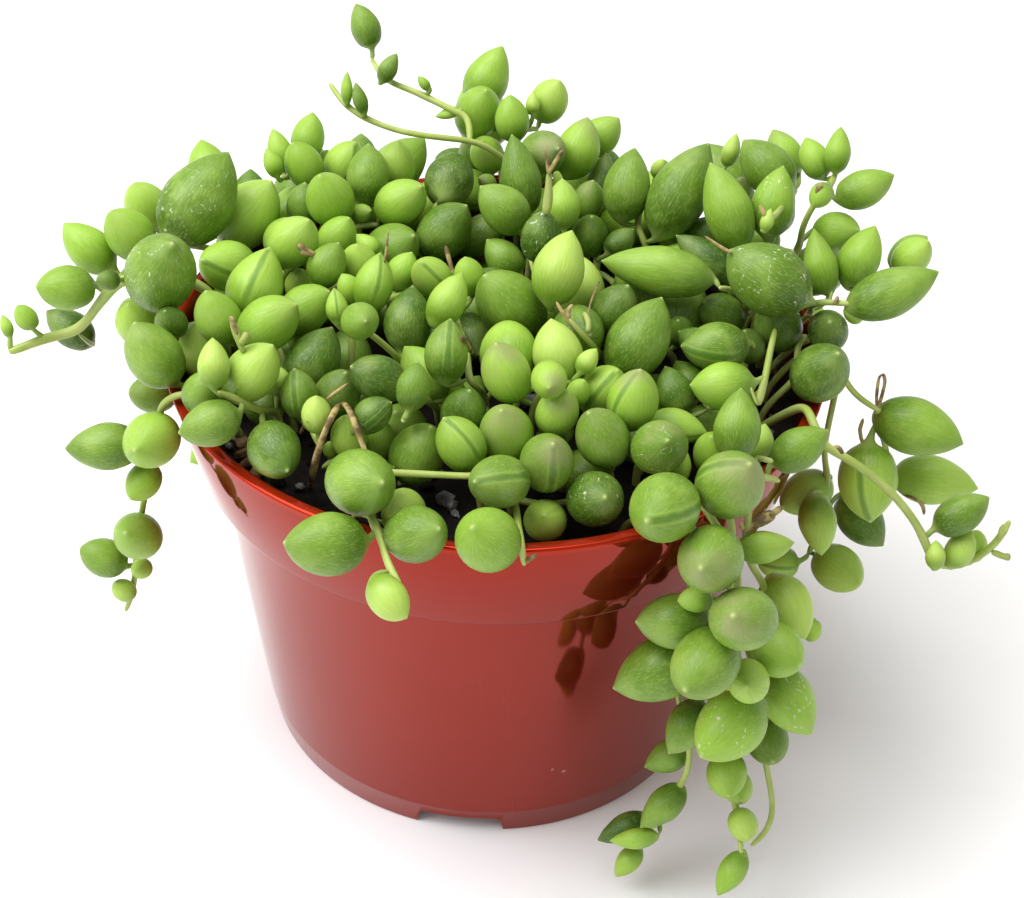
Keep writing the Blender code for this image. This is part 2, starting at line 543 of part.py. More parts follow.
def settle(leaves, stems, rounds=130):
    """Moves leaves and stem nodes until the strands lie clear of each other and of the pot."""
    offset, radii, body, strand = [], [], [], []
    for i, leaf in enumerate(leaves):
        for t, r in leaf_balls(leaf):
            offset.append(leaf.axis * t)
            radii.append(r * 1.05)
            body.append(i)
            strand.append(leaf.strand)
    at = [leaf.c for leaf in leaves]
    held = [False] * len(leaves)
    for stem in stems:
        stem.first = len(at)
        for k, p in enumerate(stem.p):
            offset.append(np.zeros(3))
            radii.append(STEM_RADIUS + 0.35)
            body.append(len(at))
            strand.append(stem.strand)
            held.append(stem.rooted and k < 3)
            at.append(p)
    offset, radii = np.array(offset), np.array(radii)
    body, strand, held = np.array(body), np.array(strand), np.array(held)
    at = np.array(at)
    start = at.copy()
    count = len(leaves)
    is_stem = np.arange(len(at)) >= count
    view = unit(EYE - at)
    joint = np.array([stems[leaf.stem].first + leaf.node for leaf in leaves])
    pot_gap = np.where(is_stem[body], 0.8, 0.35)
    axes = np.array([leaf.axis for leaf in leaves])
    halves = np.array([leaf.h for leaf in leaves])
    for turn in range(rounds):
        balls = at[body] + offset
        if turn % 8 == 0:
            i, j = near_pairs(balls, radii, body, strand, is_stem)
            wanted = np.where(strand[i] == strand[j], 0.1, CLEARANCE)
            give_i = np.where(is_stem[body[i]], 1.0, 0.45)
            give_j = np.where(is_stem[body[j]], 1.0, 0.45)
            whole = give_i + give_j
            give_i = np.where(held[body[i]], 0, give_i / whole)
            give_j = np.where(held[body[j]], 0, give_j / whole)
        between = balls[i] - balls[j]
        apart = length(between) + 1e-6
        over = np.maximum(0, radii[i] + radii[j] + wanted - apart)
        push = between / apart[:, None]
        move = np.zeros_like(at)
        touched = np.zeros(len(at))
        np.add.at(move, body[i], push * (over * give_i)[:, None])
        np.add.at(move, body[j], -push * (over * give_j)[:, None])
        np.add.at(touched, body[i], (over > 0) * 1.0)
        np.add.at(touched, body[j], (over > 0) * 1.0)
        move /= np.maximum(1, touched * 0.6)[:, None]
        # a leaf slips along the line of sight before it leaves its place in the picture
        along = view * (move * view).sum(1, keepdims=True)
        move = np.where(is_stem[:, None], move, along * 1.25 + (move - along) * 0.5)
        at = at + move * np.minimum(1, 0.9 / np.maximum(length(move), 1e-9))[:, None]
        drift = at - start
        along = view * (drift * view).sum(1, keepdims=True)
        if turn < rounds - 25:
            at = at - (drift - along) * np.where(is_stem, 0.0, 0.06)[:, None]
        at = draw_stems(at, start, stems, view, held, joint, axes, halves, count)
        balls = at[body] + offset
        out, amount = push_from_pot(balls, radii + pot_gap)
        move = np.zeros_like(at)
        touched = np.zeros(len(at))
        np.add.at(move, body, out)
        np.add.at(touched, body, (amount > 0) * 1.0)
        at = at + move / np.maximum(1, touched)[:, None] * (~held)[:, None]
        lowest = np.full(len(at), 1e9)
        np.minimum.at(lowest, body, balls[:, 2] - radii)
        at[:, 2] += np.maximum(0, 0.3 - lowest)
    for leaf, c in zip(leaves, at):
        leaf.c = c
    for stem in stems:
        stem.p = at[stem.first:stem.first + len(stem.p)]


def draw_stems(at, start, stems, view, held, joint, axes, halves, count):
    """Keeps the stems smooth, near the bases of their leaves and on their seen course."""
    gap = at[:count] - axes * (halves + 0.6)[:, None] - at[joint]
    far = length(gap) + 1e-9
    reach = np.zeros_like(at)
    pulls = np.zeros(len(at))
    np.add.at(reach, joint, gap / far[:, None] * (np.maximum(0, far - 1.6) * 0.5)[:, None])
    np.add.at(pulls, joint, 1.0)
    drawn = at + reach / np.maximum(1, pulls)[:, None] * (~held)[:, None]
    for stem in stems:
        run = slice(stem.first, stem.first + len(stem.p))
        p = drawn[run]
        q = p.copy()
        if len(p) > 2:
            q[1:-1] = p[1:-1] * 0.6 + 0.2 * (p[:-2] + p[2:])
        if stem.seen:
            back = stem.p0 - q
            back = back - view[run] * (back * view[run]).sum(1, keepdims=True)
            free = 4 if stem.rooted else 0
            q[free:] = q[free:] + 0.15 * back[free:]
        drawn[run] = q
    return np.where(held[:, None], start, drawn)


def clear_scene():
    for thing in list(bpy.data.objects):
        bpy.data.objects.remove(thing)
    for collection in list(bpy.data.collections):
        bpy.data.collections.remove(collection)


def material(name, colour, roughness, metallic=0.0):
    made = bpy.data.materials.get(name)
    if made is None:
        made = bpy.data.materials.new(name)
        made.use_nodes = True
        shader = made.node_tree.nodes["Principled BSDF"]
        shader.inputs["Base Color"].default_value = (*colour, 1.0)
        shader.inputs["Roughness"].default_value = roughness
        shader.inputs["Metallic"].default_value = metallic
        made.diffuse_color = (*colour, 1.0)
    return made


def object_of(name, bm, surface, collection=None, sharp=40):
    bmesh.ops.recalc_face_normals(bm, faces=bm.faces)
    if bm.calc_volume(signed=True) < 0:
        bmesh.ops.reverse_faces(bm, faces=bm.faces)
    mesh = bpy.data.meshes.new(name)
    bm.to_mesh(mesh)
    bm.free()
    mesh.materials.append(surface)
    mesh.shade_smooth()
    mesh.set_sharp_from_angle(angle=math.radians(sharp))
    thing = bpy.data.objects.new(name, mesh)
    (collection or bpy.context.scene.collection).objects.link(thing)
    return thing


def cross_frame(direction, before=None):
    """Two directions square to a tube's course, turned as little as possible from the last."""
    hint = before if before is not None else np.array([0.0, 0.0, 1.0])
    if abs((hint * direction).sum()) > 0.97:
        hint = np.array([1.0, 0.0, 0.0])
    one = unit(hint - direction * (hint * direction).sum())
    return one, np.cross(direction, one)


def sweep(bm, centres, radii, sides, tip=None):
    """Extrudes a round outline along its centres, with a flat start and a flat or pointed end."""
    centres = [np.array(c) * MM for c in centres]
    made = bmesh.ops.create_circle(bm, cap_ends=True, radius=1.0, segments=sides)
    cap = made["verts"][0].link_faces[0]
    frame = None
    for k, (centre, radius) in enumerate(zip(centres, radii)):
        if k:
            cap = bmesh.ops.extrude_discrete_faces(bm, faces=[cap])["faces"][0]
        ahead = centres[min(k + 1, len(centres) - 1)] - centres[max(k - 1, 0)]
        one, two = cross_frame(unit(ahead), frame)
        frame = one
        for n, vert in enumerate(cap.verts):
            angle = 2 * math.pi * n / sides
            vert.co = centre + (one * math.cos(angle) + two * math.sin(angle)) * radius * MM
    if tip is not None:
        cap = bmesh.ops.extrude_discrete_faces(bm, faces=[cap])["faces"][0]
        bmesh.ops.pointmerge(bm, verts=list(cap.verts), merge_co=np.array(tip) * MM)
    bmesh.ops.holes_fill(bm, edges=bm.edges)


def leaf_rings(leaf):
    """Where a leaf's outline bends, and its radius there: more often on a wide leaf."""
    rings = WIDE_LEAF_RINGS if leaf.a > WIDE_LEAF else LEAF_RINGS
    return [(leaf.c + leaf.axis * leaf.h * t, leaf.a * LEAF_SWELL * w) for t, w in rings]


def leaf_object(leaf, joint, surface, collection):
    """A leaf on its stalk. The stalk is a tube of its own where it bends back on the leaf."""
    base = leaf.c - leaf.axis * leaf.h * 0.94
    rings = leaf_rings(leaf)
    stalk = base - joint
    sides = LEAF_SIDES if leaf.a > SMALL_LEAF else SMALL_LEAF_SIDES
    doubled = (stalk * leaf.axis).sum() < 0.35 * length(stalk)
    centres = [base] if doubled else [joint, base]
    radii = [PETIOLE_RADIUS * 1.3] if doubled else [PETIOLE_RADIUS, PETIOLE_RADIUS * 1.3]
    if not doubled and length(stalk) < STALK_SHOWN:
        del centres[1], radii[1]
    bm = bmesh.new()
    sweep(bm, centres + [c for c, _ in rings], radii + [r for _, r in rings], sides,
          tip=leaf.c + leaf.axis * leaf.h)
    object_of("leaf", bm, surface, collection)
    if doubled:
        bm = bmesh.new()
        sweep(bm, [joint, base + leaf.axis * leaf.h * 0.2], [PETIOLE_RADIUS, PETIOLE_RADIUS * 0.8],
              STEM_SIDES - 1)
        object_of("stalk", bm, surface, collection)


def course_of(stem):
    """The nodes where a stem's course bends, and where it leaves the soil."""
    points = stem.p
    first = 2 if stem.rooted else 0
    kept = {0, first, len(points) - 1}
    runs = [(first, len(points) - 1)]
    while runs:
        i, j = runs.pop()
        if j - i < 2:
            continue
        chord = points[j] - points[i]
        share = ((points[i:j] - points[i]) * chord).sum(1) / max((chord * chord).sum(), 1e-9)
        off = length(points[i:j] - points[i] - share[:, None] * chord)
        k = int(off.argmax())
        if off[k] > STEM_STRAIGHTNESS:
            kept.add(i + k)
            runs += [(i, i + k), (i + k, j)]
    return np.array([points[k] for k in sorted(kept)])


def nearest_on(course, point):
    """The point of a course that lies nearest to another point."""
    start, end = course[:-1], course[1:]
    run = end - start
    share = ((point - start) * run).sum(1) / np.maximum((run * run).sum(1), 1e-9)
    near = start + np.clip(share, 0.02, 0.98)[:, None] * run
    return near[length(near - point).argmin()]


def stem_object(course, surface, collection):
    radii = [STEM_RADIUS] * len(course)
    radii[-1] = STEM_RADIUS * 0.8
    bm = bmesh.new()
    sweep(bm, course, radii, STEM_SIDES)
    return object_of("stem", bm, surface, collection)


def islands(bm):
    """The separate shells of a mesh, each a list of faces."""
    left = set(bm.faces)
    found = []
    while left:
        shell = []
        queue = [left.pop()]
        while queue:
            face = queue.pop()
            shell.append(face)
            for edge in face.edges:
                for other in edge.link_faces:
                    if other in left:
                        left.remove(other)
                        queue.append(other)
        found.append(shell)
    return found


def drop_scraps(mesh):
    """Removes what a union leaves behind: loose slivers and hollows that it sealed."""
    bm = bmesh.new()
    bm.from_mesh(mesh)
    bmesh.ops.triangulate(bm, faces=bm.faces)
    for shell in islands(bm):
        volume = sum(f.verts[0].co.dot(f.verts[1].co.cross(f.verts[2].co)) for f in shell) / 6
        if volume < SCRAP_VOLUME * MM ** 3:
            bmesh.ops.delete(bm, geom=shell, context="FACES")
    whole = all(edge.is_manifold for edge in bm.edges) and len(islands(bm)) == 1
    bm.to_mesh(mesh)
    bm.free()
    return whole


def join(thing, collection):
    """Fuses what the collection holds to one object, and removes the collection."""
    union = thing.modifiers.new("fuse", "BOOLEAN")
    union.operation = "UNION"
    union.operand_type = "COLLECTION"
    union.collection = collection
    union.use_self = True
    for solver in ("EXACT", "MANIFOLD"):
        union.solver = solver
        graph = bpy.context.evaluated_depsgraph_get()
        fused = bpy.data.meshes.new_from_object(thing.evaluated_get(graph))
        if drop_scraps(fused):
            break
    thing.modifiers.clear()
    thing.data = fused
    for other in list(collection.objects):
        bpy.data.objects.remove(other)
    bpy.data.collections.remove(collection)


def strand_object(strand, name, leaves, stems):
    """One leafy stem, fused."""
    surface = material(f"leaf_{strand % 4}", LEAF_COLOURS[strand % 4], 0.42)
    if name == "dried_twig":
        surface = material("dried", (0.55, 0.36, 0.19), 0.8)
    courses = {}
    pieces = bpy.data.collections.new(f"{name}_pieces")
    bpy.context.scene.collection.children.link(pieces)
    for stem in stems:
        if stem.strand != strand:
            continue
        course = course_of(stem)
        if stem.rooted:
            main = course
            thing = stem_object(course, surface, None)
            thing.name = name if name == "dried_twig" else f"strand_{name}"
        else:
            start = nearest_on(main, course[0])
            course = np.concatenate([start[None], course])
            stem_object(course, surface, pieces)
        courses[id(stem)] = course
    for leaf in leaves:
        if leaf.strand == strand:
            stem = stems[leaf.stem]
            joint = nearest_on(courses[id(stem)], stem.p[leaf.node])
            leaf_object(leaf, joint, surface, pieces)
    if len(pieces.objects):
        join(thing, pieces)
    else:
        bpy.data.collections.remove(pieces)


def turned(name, section, segments, surface):
    """A solid of revolution about the Z axis from a closed section (radius, height)."""
    bm = bmesh.new()
    verts = [bm.verts.new((r * MM, 0, z * MM)) for r, z in section]
    edges = [bm.edges.new((a, b)) for a, b in zip(verts, verts[1:])]
    if section[0][0] > 0:
        edges.append(bm.edges.new((verts[-1], verts[0])))
    bmesh.ops.spin(bm, geom=verts + edges, cent=(0, 0, 0), axis=(0, 0, 1),
                   angle=2 * math.pi, steps=segments, use_merge=True)
    bmesh.ops.remove_doubles(bm, verts=bm.verts, dist=1e-7)
    return object_of(name, bm, surface)


def cutter(name, bm, collection):
    thing = object_of(name, bm, material("cutter", (0.5, 0.5, 0.5), 0.5), collection)
    thing.hide_render = True
    thing.display_type = "WIRE"
    return thing


def cut(thing, collection):
    """Takes what the collection holds out of one object, and removes the collection."""
    difference = thing.modifiers.new("cut", "BOOLEAN")
    difference.operation = "DIFFERENCE"
    difference.operand_type = "COLLECTION"
    difference.collection = collection
    difference.solver = "EXACT"
    graph = bpy.context.evaluated_depsgraph_get()
    left = bpy.data.meshes.new_from_object(thing.evaluated_get(graph))
    thing.modifiers.clear()
    thing.data = left
    for other in list(collection.objects):
        bpy.data.objects.remove(other)
    bpy.data.collections.remove(collection)


def wall_radius(z):
    """The outer radius of the wall below the collar."""
    return FOOT_RADIUS + z * (STEP_RADIUS - FOOT_RADIUS) / (POT_HEIGHT - COLLAR_DROP)


def pot():
    step_z = POT_HEIGHT - COLLAR_DROP
    line_z = FOOT_LINE_HEIGHT
    inner = RIM_RADIUS - LIP_WIDTH
    floor_top = FLOOR_UNDERSIDE + WALL
    section = [
        (0, FLOOR_UNDERSIDE), (FOOT_RADIUS - WALL - 0.3, FLOOR_UNDERSIDE), (FOOT_RADIUS - WALL, 0),
        (FOOT_RADIUS, 0), (wall_radius(line_z), line_z),
        (wall_radius(line_z) + FOOT_LINE_STEP, line_z + 0.5), (STEP_RADIUS, step_z),
        (COLLAR_FOOT_RADIUS, step_z), (RIM_RADIUS, POT_HEIGHT), (inner, POT_HEIGHT),
        (COLLAR_FOOT_RADIUS - 1.6, step_z + 1.4),
        (STEP_RADIUS - WALL, step_z - 0.6), (wall_radius(floor_top) - WALL, floor_top), (0, floor_top)]
    body = turned("pot", section, POT_SEGMENTS, material("pot", (0.42, 0.055, 0.035), 0.18))
    cutters = bpy.data.collections.new("pot_cutters")
    bpy.context.scene.collection.children.link(cutters)
    for k in range(NOTCH_COUNT):
        azimuth = NOTCH_AZIMUTH + 2 * math.pi * k / NOTCH_COUNT
        foot_notch(azimuth, cutters)
    for k in range(DRAIN_COUNT):
        azimuth = NOTCH_AZIMUTH + 2 * math.pi * (k + 0.5) / DRAIN_COUNT
        bm = bmesh.new()
        bmesh.ops.create_cone(bm, cap_ends=True, segments=10, radius1=DRAIN_RADIUS * MM,
                              radius2=DRAIN_RADIUS * MM, depth=6 * MM)
        at = (DRAIN_CIRCLE * math.cos(azimuth), DRAIN_CIRCLE * math.sin(azimuth), floor_top)
        bmesh.ops.translate(bm, verts=bm.verts, vec=[v * MM for v in at])
        cutter("drain", bm, cutters)
    cut(body, cutters)


def foot_notch(azimuth, collection):
    """A wedge through the foot ring, a little narrower at its top."""
    bm = bmesh.new()
    bmesh.ops.create_cube(bm, size=1.0)
    for vert in bm.verts:
        width = NOTCH_WIDTH if vert.co.z < 0 else NOTCH_TOP_WIDTH
        across = math.copysign(width / 2, vert.co.y)
        out = FOOT_RADIUS + math.copysign(4.0, vert.co.x)
        z = -1.0 if vert.co.z < 0 else NOTCH_HEIGHT
        vert.co = (out * MM, across * MM, z * MM)
    for vert in bm.verts:
        x, y = vert.co.x, vert.co.y
        vert.co.x = x * math.cos(azimuth) - y * math.sin(azimuth)
        vert.co.y = x * math.sin(azimuth) + y * math.cos(azimuth)
    cutter("notch", bm, collection)


def soil(roots):
    """The soil, from the pot's floor to just under the rim, with a plain hole for each root."""
    step_z = POT_HEIGHT - COLLAR_DROP
    floor = FLOOR_UNDERSIDE + WALL + SOIL_CLEARANCE
    gap = WALL + SOIL_CLEARANCE
    collar_inner = COLLAR_FOOT_RADIUS - 1.6 - SOIL_CLEARANCE
    top_share = (SOIL_TOP - step_z - 1.4) / (POT_HEIGHT - step_z - 1.4)
    top_radius = collar_inner + top_share * (RIM_RADIUS - LIP_WIDTH - COLLAR_FOOT_RADIUS + 1.6)
    section = [
        (0, floor), (wall_radius(floor) - gap, floor), (STEP_RADIUS - gap, step_z - 0.6),
        (collar_inner, step_z + 1.4), (top_radius, SOIL_TOP - 0.6),
        (0.62 * top_radius, SOIL_TOP + 0.2), (0, SOIL_TOP + SOIL_CROWN)]
    body = turned("soil", section, SOIL_SEGMENTS, material("soil", (0.03, 0.024, 0.02), 0.95))
    cutters = bpy.data.collections.new("soil_cutters")
    bpy.context.scene.collection.children.link(cutters)
    radius = STEM_RADIUS + 0.65
    low = SOIL_TOP - ROOT_DEPTH - 0.4
    high = SOIL_TOP + 3
    for x, y, _ in roots:
        bm = bmesh.new()
        bmesh.ops.create_cone(bm, cap_ends=True, segments=4, radius1=radius * MM,
                              radius2=radius * MM, depth=(high - low) * MM)
        bmesh.ops.translate(bm, verts=bm.verts, vec=(x * MM, y * MM, (low + high) / 2 * MM))
        cutter("root_hole", bm, cutters)
    cut(body, cutters)


def main():
    clear_scene()
    names, leaves, stems = read_strands()
    settle(leaves, stems)
    pot()
    soil([stem.root for stem in stems if stem.rooted])
    for strand, name in enumerate(names):
        strand_object(strand, name, leaves, stems)
    for spare in [m for m in bpy.data.materials if m.name == "cutter"]:
        bpy.data.materials.remove(spare)


main()
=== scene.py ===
"""A potted string of tears, dressed: glossy pot, rooty soil and juicy leaves on thin stems.

The strands are laid out as they are in the part's source: each leaf and each visible run of a
stem is written as it is seen in the photograph, set in space with the camera that took it, and
settled until all lie clear of each other. Lengths in the constants are millimetres and become
metres in the meshes.
"""

import json
import math

import bmesh
import bpy
import numpy as np
from bpy.props import FloatProperty, FloatVectorProperty, IntProperty, PointerProperty
from mathutils import Matrix, Vector, noise

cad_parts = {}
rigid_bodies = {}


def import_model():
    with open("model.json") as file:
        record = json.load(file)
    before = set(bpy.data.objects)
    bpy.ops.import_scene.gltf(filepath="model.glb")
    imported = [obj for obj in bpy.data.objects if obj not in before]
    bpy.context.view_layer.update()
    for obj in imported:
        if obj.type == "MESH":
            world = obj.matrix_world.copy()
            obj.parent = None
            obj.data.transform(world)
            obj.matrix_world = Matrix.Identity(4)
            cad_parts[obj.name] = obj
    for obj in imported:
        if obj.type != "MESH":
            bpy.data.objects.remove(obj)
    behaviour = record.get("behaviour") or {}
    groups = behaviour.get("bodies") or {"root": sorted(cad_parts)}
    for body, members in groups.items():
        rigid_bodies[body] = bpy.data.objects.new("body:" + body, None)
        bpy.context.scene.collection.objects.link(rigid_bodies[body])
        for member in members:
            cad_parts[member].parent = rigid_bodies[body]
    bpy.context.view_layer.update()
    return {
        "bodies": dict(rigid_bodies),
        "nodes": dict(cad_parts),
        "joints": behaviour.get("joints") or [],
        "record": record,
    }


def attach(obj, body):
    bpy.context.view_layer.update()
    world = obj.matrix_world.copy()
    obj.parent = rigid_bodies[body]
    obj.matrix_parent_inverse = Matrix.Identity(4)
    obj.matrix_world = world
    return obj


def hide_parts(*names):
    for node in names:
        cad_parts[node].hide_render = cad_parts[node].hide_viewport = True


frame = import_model()

bl_info = {
    "name": "Potted string of tears",
    "version": (1, 0, 0),
    "blender": (4, 5, 0),
    "location": "3D View > Sidebar > Tears",
    "description": "Grows a string of tears in its nursery pot, piece by piece",
    "category": "Object",
}

MM = 0.001

# Pot
POT_HEIGHT = 73.6
RIM_RADIUS = 52.5
LIP_WIDTH = 2.0
COLLAR_DROP = 17.8
COLLAR_FOOT_RADIUS = 48.5
STEP_RADIUS = 45.6
FOOT_RADIUS = 39.2
FOOT_LINE_HEIGHT = 4.9
FOOT_LINE_STEP = 0.35
WALL = 1.2
FLOOR_UNDERSIDE = 3.6
NOTCH_COUNT = 4
NOTCH_HEIGHT = 3.4
NOTCH_WIDTH = 15.0
NOTCH_TOP_WIDTH = 13.4
NOTCH_AZIMUTH = math.radians(-95.8)
DRAIN_COUNT = 6
DRAIN_RADIUS = 4.0
DRAIN_CIRCLE = 25.0

# Soil
SOIL_TOP = 66.0
SOIL_CROWN = 0.6
SOIL_EDGE = 50.2
ROOT_DEPTH = 4.0

# Strands
STEM_RADIUS = 0.75
NODE_PITCH = 2.2
PLUMPNESS = 1.46
CLEARANCE = 0.5
ROOT_SPACING = 4.6
ROOT_REACH = 43.0
ROOT_ROUNDS = 200
ROOT_RISES = (-ROOT_DEPTH, -1.5, 1.0)

# The camera of the photograph, about the centre of the rim
PHOTO_CENTRE = (512.0, 449.0)
FOCAL_PX = 1706.67
ELEVATION = math.radians(33.953)
ROLL = math.radians(1.6564)
DISTANCE = 272.29
AIM_PX = (497.15, 333.59)

